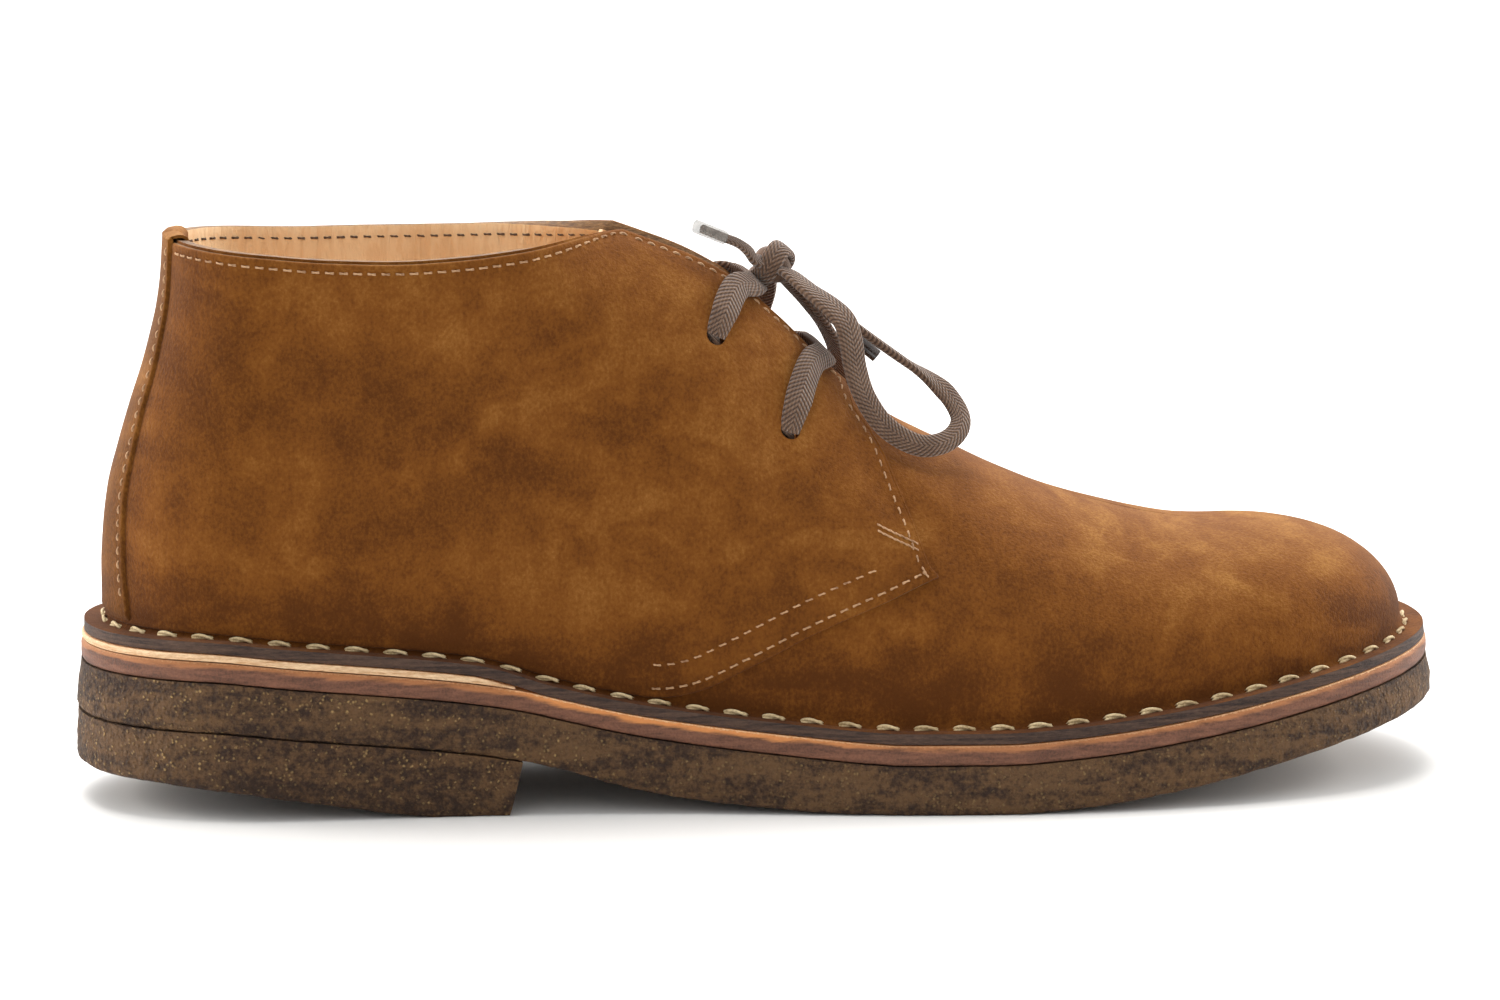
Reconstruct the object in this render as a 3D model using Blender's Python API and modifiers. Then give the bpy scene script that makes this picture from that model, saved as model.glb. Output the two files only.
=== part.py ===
"""A right desert boot: suede upper turned out and stitched down to a leather midsole on crepe.

Metres, +Z up. The toe points to +X, the outer side of the foot is at -Y and the inner side at +Y.
The origin is the centre of the sole's outline, on the plane that the heel and the forefoot stand on.
Tables hold shares of the named sizes; "along" is the share of the sole's length from the heel's back.
"""

import math

import bmesh
import bpy
import numpy as np

MM = 0.001

# Sole
SOLE_LENGTH = 314 * MM
BALL_WIDTH = 110 * MM
HEEL_CAP = 44 * MM  # length of the rounded back of the outline
TOE_CAP = 60 * MM  # length of the rounded front of the outline
HEEL_RISE = 20.2 * MM  # underside of the crepe sheet at the heel, over the floor
TOE_SPRING = 15 * MM
CREPE_SHEET = 10.8 * MM
HEEL_ROCKER = 8.5 * MM  # how far the heel's rear edge clears the floor
BREAST_BACK = 94.5 * MM  # heel breast at the floor, from the heel's back
BREAST_SLANT = 3 * MM
CREPE_FLARE = 1.6 * MM
MIDSOLE = 4.3 * MM
MIDSOLE_INSET = 1.6 * MM
RAND = 1.4 * MM
RAND_LENGTH = 96 * MM
RAND_RUNOUT = 18 * MM  # length over which the upper comes down past the rand's end
INSOLE = 3 * MM

# Upper
WALL = 2.4 * MM
FLANGE_INSET = 2.4 * MM
FEATHER_INSET = 7.7 * MM  # foot of the wall, from the sole's edge
SHAFT_HEIGHT = 86 * MM  # collar over the flange at the heel
INSTEP_HEIGHT = 100 * MM  # top of the instep over the flange
HEEL_LEAN = 16 * MM  # how far the heel's back line comes forward at the collar
WALL_BULGE = 1.2 * MM
QUARTER = 1.2 * MM  # step of the quarters over the vamp and lining
BACK_STAY = 1.0 * MM  # step of the back stay over the quarters
STAY_TOP = 12 * MM  # half widths of the back stay
STAY_FOOT = 21 * MM
OVERLAP = 0.9 * MM  # depth to which an overlay is let into what it lies on
RIM_STEP = 0.6 * MM
SLOT_HALF = 8.5 * MM  # half the gap between the facings
SLOT_ROOT = 178 * MM  # where the facings meet, from the heel's back
SLOT_ROUND = 14 * MM
TONGUE = 1.6 * MM
TONGUE_HALF = 17 * MM
TONGUE_TUCK = 9 * MM
TONGUE_TOP = 121 * MM  # tongue's top end, from the heel's back
TONGUE_CLEAR = 0.9 * MM  # under the facings, whose inner faces are flat between their sections
TOE_POLE = 268 * MM  # centre of the rounded toe, from the heel's back
EYELET_BORE = 4.6 * MM

# Laces
LACE_WIDTH = 8 * MM
LACE_THICK = 1.3 * MM
LACE_TUBE = 4 * MM
AGLET_BORE = 3 * MM
KNOT = 11.4 * MM
KNOT_SHAPE = (0.95, 1.1, 0.68)  # along the instep, across it and out of it
KNOT_AHEAD = 11.5 * MM  # in front of the upper lace holes
KNOT_SIDE = -1.5 * MM
BAR_SAG = 1.4 * MM  # of a bar into the slot between the facings
BAR_LIFT = QUARTER + 0.75 * MM  # underside of a bar over the upper's face, clear of the quarters' flat facets

GAP = 0.3 * MM  # clearance between pieces that meet

HEEL_X = -SOLE_LENGTH / 2
TOE_X = SOLE_LENGTH / 2
HALF_BALL = BALL_WIDTH / 2

# along, half width, shift to the inner side (shares of half the ball's width)
OUTLINE = np.array(
    [
        (0.00, 0.680, 0.000),
        (0.12, 0.685, 0.000),
        (0.25, 0.690, -0.010),
        (0.33, 0.685, -0.030),
        (0.40, 0.710, -0.045),
        (0.47, 0.775, -0.050),
        (0.55, 0.875, -0.040),
        (0.62, 0.950, -0.018),
        (0.68, 0.990, 0.000),
        (0.73, 1.000, 0.020),
        (0.79, 0.985, 0.045),
        (0.85, 0.955, 0.072),
        (0.92, 0.940, 0.100),
        (1.00, 0.930, 0.125),
    ]
)
# along, share of HEEL_RISE, share of TOE_SPRING: underside of the crepe sheet before its swelling,
# then the swelling under it as a share of CREPE_SHEET
SHEET_LINE = np.array(
    [
        (0.000, 1.000, 0.00, 0.000),
        (0.090, 0.985, 0.00, 0.000),
        (0.157, 0.885, 0.00, 0.000),
        (0.260, 0.725, 0.00, 0.000),
        (0.308, 0.610, 0.00, 0.000),
        (0.340, 0.490, 0.00, 0.000),
        (0.370, 0.380, 0.00, 0.060),
        (0.400, 0.290, 0.00, 0.100),
        (0.440, 0.200, 0.00, 0.115),
        (0.508, 0.085, 0.00, 0.090),
        (0.555, 0.018, 0.00, 0.015),
        (0.575, 0.000, 0.00, 0.000),
        (0.645, 0.000, 0.00, 0.000),
        (0.690, 0.000, 0.05, 0.000),
        (0.737, 0.000, 0.14, -0.010),
        (0.782, 0.000, 0.26, -0.040),
        (0.828, 0.000, 0.41, -0.080),
        (0.873, 0.000, 0.58, -0.115),
        (0.925, 0.000, 0.77, -0.145),
        (0.977, 0.000, 0.94, -0.160),
        (1.000, 0.000, 1.00, -0.160),
    ]
)
# share of BREAST_BACK from the back, share of HEEL_ROCKER
ROCKER = np.array(
    [(0.00, 1.00), (0.15, 0.96), (0.32, 0.80), (0.52, 0.48), (0.68, 0.20), (0.78, 0.05), (0.84, 0.0), (1.0, 0.0)]
)
# along, ridge height, depth of its rounding (shares of INSTEP_HEIGHT), exponent of the rounding,
# wall width at the top as a share of its foot, ridge's shift (share of half the ball's width)
RIDGE = np.array(
    [
        (0.120, 1.900, 0.42, 2.00, 0.865, 0.000),
        (0.160, 1.850, 0.42, 2.00, 0.930, 0.000),
        (0.225, 1.750, 0.42, 2.00, 1.000, 0.000),
        (0.270, 1.600, 0.42, 2.00, 0.985, 0.000),
        (0.305, 1.370, 0.40, 2.00, 0.940, 0.000),
        (0.335, 1.175, 0.35, 2.00, 0.885, 0.000),
        (0.358, 1.080, 0.32, 2.00, 0.865, 0.000),
        (0.380, 1.043, 0.33, 2.00, 0.850, 0.000),
        (0.405, 1.030, 0.38, 2.00, 0.842, 0.000),
        (0.436, 1.010, 0.47, 2.00, 0.840, 0.000),
        (0.468, 0.972, 0.60, 2.00, 0.845, 0.000),
        (0.500, 0.898, 0.73, 2.00, 0.860, 0.000),
        (0.532, 0.799, 0.72, 2.00, 0.890, 0.000),
        (0.564, 0.702, 0.64, 2.00, 0.930, 0.010),
        (0.590, 0.643, 0.59, 2.02, 0.960, 0.020),
        (0.615, 0.602, 0.56, 2.05, 0.980, 0.030),
        (0.644, 0.558, 0.52, 2.08, 1.000, 0.040),
        (0.673, 0.510, 0.47, 2.12, 1.000, 0.050),
        (0.708, 0.455, 0.42, 2.16, 1.000, 0.060),
        (0.740, 0.411, 0.38, 2.20, 1.000, 0.070),
        (0.785, 0.357, 0.33, 2.26, 1.000, 0.078),
        (0.820, 0.323, 0.30, 2.32, 1.000, 0.084),
        (0.860, 0.298, 0.27, 2.38, 1.000, 0.090),
        (1.000, 0.250, 0.23, 2.40, 1.000, 0.100),
    ]
)
# along, height over the heel's flange as a share of SHAFT_HEIGHT, at the outer and the inner side
COLLAR = np.array(
    [
        (0.060, 1.003, 1.003),
        (0.128, 0.978, 0.988),
        (0.179, 0.963, 0.982),
        (0.228, 0.959, 0.982),
        (0.276, 0.967, 0.983),
        (0.317, 0.982, 0.988),
        (0.353, 0.998, 0.998),
        (0.378, 1.005, 1.005),
        (0.420, 1.008, 1.008),
    ]
)
# share of SHAFT_HEIGHT, share of HEEL_LEAN
BACK_LINE = np.array(
    [
        (0.00, 0.000),
        (0.05, 0.060),
        (0.13, 0.060),
        (0.24, 0.095),
        (0.344, 0.170),
        (0.45, 0.320),
        (0.555, 0.490),
        (0.66, 0.680),
        (0.737, 0.795),
        (0.81, 0.890),
        (0.89, 0.955),
        (1.00, 1.000),
    ]
)
# along, height over the flange (share of INSTEP_HEIGHT): the quarters' lower edge
QUARTER_FOOT = np.array(
    [
        (0.000, 0.010),
        (0.395, 0.010),
        (0.412, 0.016),
        (0.434, 0.038),
        (0.470, 0.104),
        (0.520, 0.203),
        (0.562, 0.270),
        (0.600, 0.323),
        (0.606, 0.330),
    ]
)
# the same for the quarters' front edge, in front of the facings
QUARTER_FRONT = np.array(
    [(0.552, 0.690), (0.570, 0.605), (0.580, 0.530), (0.590, 0.450), (0.600, 0.352), (0.606, 0.332)]
)
# along, height over the flange (share of INSTEP_HEIGHT): lace holes, upper and lower
EYELETS = ((0.4535, 0.819), (0.505, 0.628))


def smooth(rows, column, at):
    """A table's column at the given places, on a smooth line that never overshoots its rows."""
    x, y = rows[:, 0], rows[:, column]
    at = np.clip(np.asarray(at, float), x[0], x[-1])
    h = np.diff(x)
    rise = np.diff(y) / h
    slope = np.zeros(len(x))
    same = rise[:-1] * rise[1:] > 0
    a, b = h[1:] * 2 + h[:-1], h[1:] + h[:-1] * 2
    with np.errstate(divide="ignore", invalid="ignore"):
        inner = (a + b) / (a / rise[:-1] + b / rise[1:])
    slope[1:-1] = np.where(same, inner, 0)
    slope[0], slope[-1] = rise[0], rise[-1]
    i = np.clip(np.searchsorted(x, at) - 1, 0, len(h) - 1)
    t = (at - x[i]) / h[i]
    return (
        y[i] * (1 + 2 * t) * (1 - t) ** 2
        + slope[i] * h[i] * t * (1 - t) ** 2
        + y[i + 1] * t**2 * (3 - 2 * t)
        + slope[i + 1] * h[i] * t**2 * (t - 1)
    )


def along(x):
    """Share of the sole's length."""
    return (np.asarray(x, float) - HEEL_X) / SOLE_LENGTH


def at_share(share):
    """Place along X of a share of the sole's length."""
    return HEEL_X + share * SOLE_LENGTH


def cap(t, power):
    """Superellipse quarter: 1 at t <= 0 and 0 at t = 1."""
    return (1 - np.clip(t, 0, 1) ** power) ** (1 / power)


def half_width(x, inset):
    """Half width of the sole's outline moved in by an inset."""
    full = smooth(OUTLINE, 1, along(x)) * HALF_BALL - inset
    back = cap((HEEL_X + HEEL_CAP - x) / (HEEL_CAP - inset), 2.15)
    front = cap((x - (TOE_X - TOE_CAP)) / (TOE_CAP - inset), 2.25)
    return full * back * front


def shift(x):
    """Middle of the sole's outline, across."""
    return smooth(OUTLINE, 2, along(x)) * HALF_BALL


def sheet_line(x):
    """Line that every layer over the crepe sheet follows."""
    u = along(x)
    return smooth(SHEET_LINE, 1, u) * HEEL_RISE + smooth(SHEET_LINE, 2, u) * TOE_SPRING


def sheet_under(x):
    """Underside of the crepe sheet, thicker at the waist and thinner at the toe."""
    return sheet_line(x) - smooth(SHEET_LINE, 3, along(x)) * CREPE_SHEET


def rand_share(x):
    """1 over the rand, falling to 0 where the upper comes down to the midsole."""
    t = np.clip((x - (HEEL_X + RAND_LENGTH - RAND_RUNOUT / 2)) / RAND_RUNOUT, 0, 1)
    return 1 - t * t * (3 - 2 * t)


def midsole_top(x):
    """Top of the midsole."""
    return sheet_line(x) + CREPE_SHEET + GAP + MIDSOLE


def flange_top(x):
    """Top of the turned-out foot of the upper."""
    return midsole_top(x) + GAP + (RAND + GAP) * rand_share(x) + WALL


def stations(inset, ends=9, middle=26):
    """Places along X of an outline's points, close together at its rounded ends."""
    back, front = HEEL_X + inset, TOE_X - inset
    a, b = HEEL_X + HEEL_CAP, TOE_X - TOE_CAP
    turn = np.linspace(0, math.pi / 2, ends)
    return np.concatenate(
        [
            a - (a - back) * np.cos(turn),
            np.linspace(a, b, middle + 1)[1:-1],
            b + (front - b) * np.sin(turn),
        ]
    )


def new_object(name, mesh, collection):
    obj = bpy.data.objects.new(name, mesh)
    collection.objects.link(obj)
    return obj


def mesh_of(name, points, faces, merge=2e-6):
    """A mesh with doubled points joined and its faces turned outward."""
    bm = bmesh.new()
    verts = [bm.verts.new(p) for p in points]
    for face in faces:
        if len(set(face)) > 2:
            bm.faces.new([verts[i] for i in face])
    bmesh.ops.remove_doubles(bm, verts=bm.verts, dist=merge)
    bmesh.ops.dissolve_degenerate(bm, dist=merge, edges=bm.edges)
    bmesh.ops.recalc_face_normals(bm, faces=bm.faces)
    if bm.calc_volume(signed=True) < 0:
        bmesh.ops.reverse_faces(bm, faces=bm.faces)
    mesh = bpy.data.meshes.new(name)
    bm.to_mesh(mesh)
    bm.free()
    return mesh


def grid_faces(rows, columns):
    """Quads of a grid of points listed row by row."""
    return [
        (r * columns + c, r * columns + c + 1, (r + 1) * columns + c + 1, (r + 1) * columns + c)
        for r in range(rows - 1)
        for c in range(columns - 1)
    ]


def loft_slab(name, rings, collection):
    """A slab through rings of two sides, each ring a pair of rows of points from back to front."""
    points, faces = [], []
    count = len(rings[0][0])
    for outer, inner in rings:
        points += list(outer) + list(inner)
    for k in range(len(rings) - 1):
        low, high = 2 * count * k, 2 * count * (k + 1)
        for i in range(count - 1):
            faces.append((low + i, low + i + 1, high + i + 1, high + i))
            faces.append((low + count + i + 1, low + count + i, high + count + i, high + count + i + 1))
        for i in (0, count - 1):
            faces.append((low + i, low + count + i, high + count + i, high + i))
    last = 2 * count * (len(rings) - 1)
    for i in range(count - 1):
        faces.append((i, i + 1, count + i + 1, count + i))
        faces.append((last + i, last + i + 1, last + count + i + 1, last + count + i))
    return new_object(name, mesh_of(name, points, faces), collection)


def ring(x, inset, z):
    """The two sides of the outline at the given places, insets and heights."""
    half, middle = half_width(x, inset), shift(x)
    return (
        np.stack([x, middle - half, z + 0 * x], 1),
        np.stack([x, middle + half, z + 0 * x], 1),
    )


def build_outsole(collection):
    """The crepe sheet from heel to toe, a little wider at the floor."""
    rings = []
    for share, inset in ((0.0, 1.0), (0.1, 0.3), (0.5, 0.5), (1.0, CREPE_FLARE / MM)):
        x = stations(inset * MM)
        low, high = sheet_under(x), sheet_line(x) + CREPE_SHEET
        rings.append(ring(x, inset * MM, low + share * (high - low)))
    return loft_slab("outsole", rings, collection)


def heel_floor(x):
    """Underside of the heel: flat in front and curved up at the back."""
    return smooth(ROCKER, 1, (x - HEEL_X) / BREAST_BACK) * HEEL_ROCKER


def build_heel(collection):
    """The crepe lift under the sheet, with its slanted breast."""
    turn = np.linspace(0, math.pi / 2, 9)
    a = HEEL_X + HEEL_CAP
    rings = []
    for share, inset in ((0.0, 0.9), (0.08, 0.0), (0.55, 0.1), (1.0, 0.7)):
        inset *= MM
        breast = HEEL_X + BREAST_BACK + BREAST_SLANT * share
        x = np.concatenate([a - (a - HEEL_X - inset) * np.cos(turn), np.linspace(a, breast, 9)[1:]])
        low, high = heel_floor(np.minimum(x, HEEL_X + BREAST_BACK)), sheet_under(x) - GAP
        rings.append(ring(x, inset, low + share * (high - low)))
    return loft_slab("heel", rings, collection)


def build_midsole(collection):
    """The leather midsole under the whole flange."""
    rings = []
    for share, inset in ((0.0, 0.3), (0.2, 0.0), (0.8, 0.1), (1.0, 0.5)):
        x = stations(MIDSOLE_INSET + inset * MM)
        z = sheet_line(x) + CREPE_SHEET + GAP + share * MIDSOLE
        rings.append(ring(x, MIDSOLE_INSET + inset * MM, z))
    return loft_slab("midsole", rings, collection)


def build_rand(collection):
    """The pale strip between flange and midsole, open inside, pared thin at its two ends."""
    width = FEATHER_INSET + WALL - MIDSOLE_INSET
    turn = np.linspace(0, math.pi / 2, 9)
    a, end = HEEL_X + HEEL_CAP, HEEL_X + RAND_LENGTH
    points = []
    for inset in (MIDSOLE_INSET + 0.3 * MM, MIDSOLE_INSET + width):
        x = np.concatenate([a - (a - HEEL_X - inset) * np.cos(turn), np.linspace(a, end, 8)[1:]])
        outer, inner = ring(x, inset, midsole_top(x) + GAP)
        strip = np.concatenate([outer[::-1], inner[1:]])
        pared = np.clip((end - strip[:, 0]) / (RAND_RUNOUT / 2), 0, 1)
        thick = RAND * np.minimum(rand_share(strip[:, 0]), 0.3 + 0.7 * pared)
        points += [strip, strip + np.stack([0 * thick, 0 * thick, thick], 1)]
    low_out, high_out, low_in, high_in = points
    count = len(low_out)
    faces = []
    loop = np.concatenate([low_out, high_out, high_in, low_in])
    for k in range(4):
        m = (k + 1) % 4
        for i in range(count - 1):
            faces.append((k * count + i, k * count + i + 1, m * count + i + 1, m * count + i))
    for i in (0, count - 1):
        faces.append(tuple(k * count + i for k in range(4)))
    return new_object("heel_rand", mesh_of("heel_rand", loop, faces), collection)


def build_insole(collection):
    """The insole, inside the foot of the wall on the midsole."""
    inset = FEATHER_INSET + WALL + 2 * GAP
    rings = []
    for share, more in ((0.0, 0.3), (0.25, 0.0), (0.75, 0.0), (1.0, 0.5)):
        x = stations(inset + more * MM)
        rings.append(ring(x, inset + more * MM, midsole_top(x) + GAP + share * INSOLE))
    return loft_slab("insole", rings, collection)


def ridge(x):
    """Height of the instep's ridge over the flange, and the depth and exponent of its rounding."""
    u = along(x)
    return (
        smooth(RIDGE, 1, u) * INSTEP_HEIGHT,
        smooth(RIDGE, 2, u) * INSTEP_HEIGHT,
        smooth(RIDGE, 3, u),
    )


def wall_full(x, h):
    """Half width of the upper's outer face at a height over the flange, before its top rounds over."""
    top = ridge(x)[0]
    foot = half_width(x, FEATHER_INSET)
    rise = np.clip(h / (0.75 * INSTEP_HEIGHT), 0, 1)
    narrowing = 1 + (smooth(RIDGE, 4, along(x)) - 1) * rise * rise * (3 - 2 * rise)
    bulge = WALL_BULGE * np.sin(math.pi * np.clip(h / np.minimum(top, 0.7 * INSTEP_HEIGHT), 0, 1))
    return foot * narrowing + bulge


def wall_half(x, h):
    """Half width of the upper's outer face at a height over the flange."""
    top, depth, power = ridge(x)
    return wall_full(x, h) * cap(1 - (top - h) / depth, power)


def middle_line(x, h):
    """Middle of a section across, from the sole's middle at its foot to the ridge's at its top."""
    share = np.clip(h / ridge(x)[0], 0, 1)
    return shift(x) * (1 - share) + smooth(RIDGE, 5, along(x)) * HALF_BALL * share


def wall_point(side, x, h):
    """A point on the upper's outer face, at side -1 (outer) or 1 (inner)."""
    x, h = np.broadcast_arrays(np.asarray(x, float), np.asarray(h, float))
    return np.stack([x, middle_line(x, h) + side * wall_half(x, h), flange_top(x) + h], -1)


def heights_to(x, low, high, count):
    """Heights of evenly spaced points up a section between two heights."""
    turn = np.linspace(0, 1, 121)
    top, depth, power = ridge(x)
    dense = low + (high - low) * np.sin(turn * math.pi / 2)
    half = wall_half(x, dense)
    steps = np.hypot(np.diff(half), np.diff(dense))
    run = np.concatenate([[0], np.cumsum(steps)])
    return np.interp(np.linspace(0, run[-1], count), run, dense)


def collar_height(side, x):
    """Height of the collar line over the floor, at side -1 (outer) or 1 (inner)."""
    return flange_top(HEEL_X + FEATHER_INSET) + smooth(COLLAR, 1 if side < 0 else 2, along(x)) * SHAFT_HEIGHT


def slot_half(x):
    """Half the gap between the facings, rounded to nothing at its root."""
    t = (HEEL_X + SLOT_ROOT - x) / SLOT_ROUND
    return SLOT_HALF * np.sqrt(np.clip(1 - np.clip(1 - t, 0, 1) ** 2, 0, 1))


def height_at(x, across):
    """Height over the flange at which a section has this half width, on its rounded top."""
    top, depth, power = ridge(x)
    h = top - 0.02 * depth
    for _ in range(12):
        h = top - depth * (1 - cap(across / wall_full(x, h), power))
    return h


def section_top(side, x, step=0.0):
    """Height over the flange of a section's upper end, at the collar, the facing or the ridge."""
    facing = height_at(x, slot_half(x) + step * (slot_half(x) > 0))
    return np.minimum(collar_height(side, x) - step - flange_top(x), facing)


def heel_point(side, turn, share, low=0.0, step=0.0):
    """A point on the rounded back: turn 0 at the side and 1 at the back, share 0 to 1 up the wall."""
    centre = HEEL_X + HEEL_CAP
    sine = np.sin(turn * math.pi / 2)
    foot_x = centre - (HEEL_CAP - FEATHER_INSET) * sine
    foot = flange_top(foot_x)
    top_x = centre - (HEEL_CAP - FEATHER_INSET - HEEL_LEAN) * sine
    full = collar_height(side, top_x) - step - foot
    h = low + share * (full - low)
    lean = smooth(BACK_LINE, 1, h / SHAFT_HEIGHT) * HEEL_LEAN
    reach = HEEL_CAP - FEATHER_INSET - lean
    half = wall_half(centre, h)
    return np.stack(
        [centre - reach * sine, middle_line(centre, h) + side * half * cap(sine, 2.15), foot + h], -1
    )


# Sheets are grids: a row of columns for each level, from the foot to the top. Each column is a
# section of the upper, from the inner side's front round the heel to the outer side's front.
WALL_ROWS = 11


def flange_rows():
    """Inset and height of the flange's rows, from its edge to the fillet at the wall's foot."""
    reach = FEATHER_INSET - FLANGE_INSET
    return (
        (FLANGE_INSET, 0.0),
        (FLANGE_INSET + 0.55 * reach, 0.0),
        (FEATHER_INSET - 0.16 * reach, 0.15 * WALL),
        (FEATHER_INSET - 0.03 * reach, 0.5 * WALL),
    )


def middle_stations():
    """Places along X of the sections between the two rounded ends."""
    places = [HEEL_X + HEEL_CAP + step * MM for step in (0, 8, 16, 24, 32, 40, 47, 54, 60, 65)]
    root = HEEL_X + SLOT_ROOT
    first = places[-1] + 4 * MM
    places += list(np.linspace(first, root - SLOT_ROUND, 13))
    places += [root - SLOT_ROUND * s for s in (0.72, 0.45, 0.22, 0.07)]
    places += list(np.linspace(root, HEEL_X + TOE_POLE, 12))
    return np.array(places)


def foot_rows(side, x):
    """The flange's points of one section."""
    rows = []
    for inset, h in flange_rows():
        rows.append((x, shift(x) + side * half_width(x, inset), flange_top(x) + h))
    return rows


def toe_column(side, turn):
    """A section of the rounded toe, from the flange's edge to the pole on the ridge."""
    pole_x = HEEL_X + TOE_POLE
    top = ridge(pole_x)[0]
    sine = math.sin(turn * math.pi / 2)
    rows = []
    for inset, h in flange_rows():
        x = pole_x + (TOE_X - inset - pole_x) * sine
        rows.append((x, shift(x) + side * half_width(x, inset), flange_top(x) + h))
    low = WALL
    h = heights_to(pole_x, low, top, WALL_ROWS)
    beside = wall_point(side, pole_x, h)
    pole = beside[-1]
    foot_beside = shift(pole_x) + side * half_width(pole_x, FEATHER_INSET)
    inward = (beside[:, 1] - pole[1]) / (foot_beside - pole[1])
    up = h / top
    angle = np.linspace(0.045, math.pi / 2, 200)
    power = 2.3
    ahead_r, ahead_z = np.cos(angle) ** (2 / power), np.sin(angle) ** (2 / power)
    run = np.concatenate([[0], np.cumsum(np.hypot(np.diff(ahead_r) * 1.4, np.diff(ahead_z)))])
    even = np.linspace(0, run[-1], WALL_ROWS)
    ahead_r, ahead_z = np.interp(even, run, ahead_r), np.interp(even, run, ahead_z)
    blend = sine**2
    r = inward * (1 - blend) + ahead_r * blend
    u = up * (1 - blend) + ahead_z * blend
    x = pole_x + (TOE_X - FEATHER_INSET - pole_x) * sine
    foot = np.array([x, shift(x) + side * half_width(x, FEATHER_INSET), flange_top(x)])
    for r_j, u_j in zip(r, u):
        rows.append(
            (
                pole[0] + (foot[0] - pole[0]) * r_j,
                pole[1] + (foot[1] - pole[1]) * r_j,
                foot[2] + (pole[2] - foot[2]) * u_j,
            )
        )
    return rows


def upper_columns():
    """All sections of the upper's outer face, from the toe round one side and back up the other."""
    turns = np.linspace(0, 1, 9)
    sides = []
    for side in (-1, 1):
        columns = []
        for turn in turns[:0:-1]:
            sine = math.sin(turn * math.pi / 2)
            rows = []
            for inset, h in flange_rows():
                x = HEEL_X + HEEL_CAP - (HEEL_CAP - inset) * sine
                rows.append((x, shift(x) + side * half_width(x, inset), flange_top(x) + h))
            wall = heel_point(side, turn, np.linspace(0, 1, WALL_ROWS), low=WALL)
            columns.append(rows + [tuple(p) for p in wall])
        for x in middle_stations():
            h = heights_to(x, WALL, float(section_top(side, x)), WALL_ROWS)
            columns.append(foot_rows(side, x) + [tuple(p) for p in wall_point(side, x, h)])
        for turn in turns[1:]:
            columns.append(toe_column(side, turn))
        sides.append(columns)
    return sides[0] + sides[1][::-1][1:]


def sheet_mesh(name, columns, closed=False):
    """An open sheet through columns of points."""
    count = len(columns[0])
    points = [p for column in columns for p in column]
    faces = grid_faces(len(columns), count)
    if closed:
        last = (len(columns) - 1) * count
        faces += [(last + i, last + i + 1, i + 1, i) for i in range(count - 1)]
    bm = bmesh.new()
    verts = [bm.verts.new(p) for p in points]
    for face in faces:
        bm.faces.new([verts[i] for i in face])
    bmesh.ops.remove_doubles(bm, verts=bm.verts, dist=5e-6)
    bmesh.ops.dissolve_degenerate(bm, dist=5e-6, edges=bm.edges)
    bmesh.ops.recalc_face_normals(bm, faces=bm.faces)
    outward = sum(f.normal.dot((f.calc_center_median().x * 0, f.calc_center_median().y, 0)) for f in bm.faces)
    if outward < 0:
        bmesh.ops.reverse_faces(bm, faces=bm.faces)
    mesh = bpy.data.meshes.new(name)
    bm.to_mesh(mesh)
    bm.free()
    return mesh


def thicken(obj, inward, outward):
    """Gives a sheet its thickness, inward and outward of its own face."""
    solid = obj.modifiers.new("thickness", "SOLIDIFY")
    solid.thickness = inward + outward
    solid.offset = (outward - inward) / (inward + outward)
    solid.use_even_offset = True
    solid.use_quality_normals = True
    return solid


def lifted(columns, by):
    """Columns of a grid moved along the grid's own normals, away from the upper's middle."""
    grid = np.array(columns, float)
    normal = np.cross(np.gradient(grid, axis=0), np.gradient(grid, axis=1))
    size = np.linalg.norm(normal, axis=2, keepdims=True)
    normal /= np.maximum(size, 1e-12)
    centre = np.array([0, 0, flange_top(0.0)])
    facing = (normal * (grid - centre) * np.array([0.02, 1, 0.6])).sum()
    return grid + normal * by * (1 if facing > 0 else -1)


def quarter_columns():
    """The quarters' face: from the inner front corner round the heel to the outer front corner."""
    front = at_share(QUARTER_FRONT[-1, 0])
    facing_end = at_share(QUARTER_FRONT[0, 0])
    rows = 9
    places = [HEEL_X + HEEL_CAP + step * MM for step in (1.7, 13.1, 25.3, 37.7, 48.3, 55.9, 62.6, 67.3)]
    places += list(np.linspace(places[-1] + 4 * MM, facing_end, 12))
    places += list(np.linspace(facing_end, front, 7))[1:]
    sides = []
    for side in (1, -1):
        columns = []
        for turn in np.linspace(1, 0, 8)[:-1]:
            wall = heel_point(side, turn, np.linspace(0, 1, rows), low=0.45 * WALL, step=RIM_STEP)
            columns.append([tuple(p) for p in wall])
        for x in places:
            low = max(float(smooth(QUARTER_FOOT, 1, along(x))) * INSTEP_HEIGHT, 0.45 * WALL)
            high = float(section_top(side, x, RIM_STEP))
            if x > facing_end:
                high = min(high, float(smooth(QUARTER_FRONT, 1, along(x))) * INSTEP_HEIGHT)
            h = heights_to(x, low, max(high, low + 0.4 * MM), rows)
            columns.append([tuple(p) for p in wall_point(side, x, h)])
        sides.append(columns)
    return sides[0][::-1] + sides[1][1:]


def stay_columns():
    """The back stay's face: a strip up the heel, wider at its foot."""
    rows = 9
    columns = []
    for place in np.linspace(-1, 1, 9):
        column = []
        for share in np.linspace(0, 1, rows):
            half = STAY_FOOT + (STAY_TOP - STAY_FOOT) * share**0.7
            side = -1 if place < 0 else 1
            turn = 1 - abs(place) * half / (0.95 * (HEEL_CAP + 0.35 * BALL_WIDTH) * 0.78)
            column.append(tuple(heel_point(side, turn, share, low=0.75 * WALL, step=-0.5 * RIM_STEP)))
        columns.append(column)
    return columns


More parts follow.
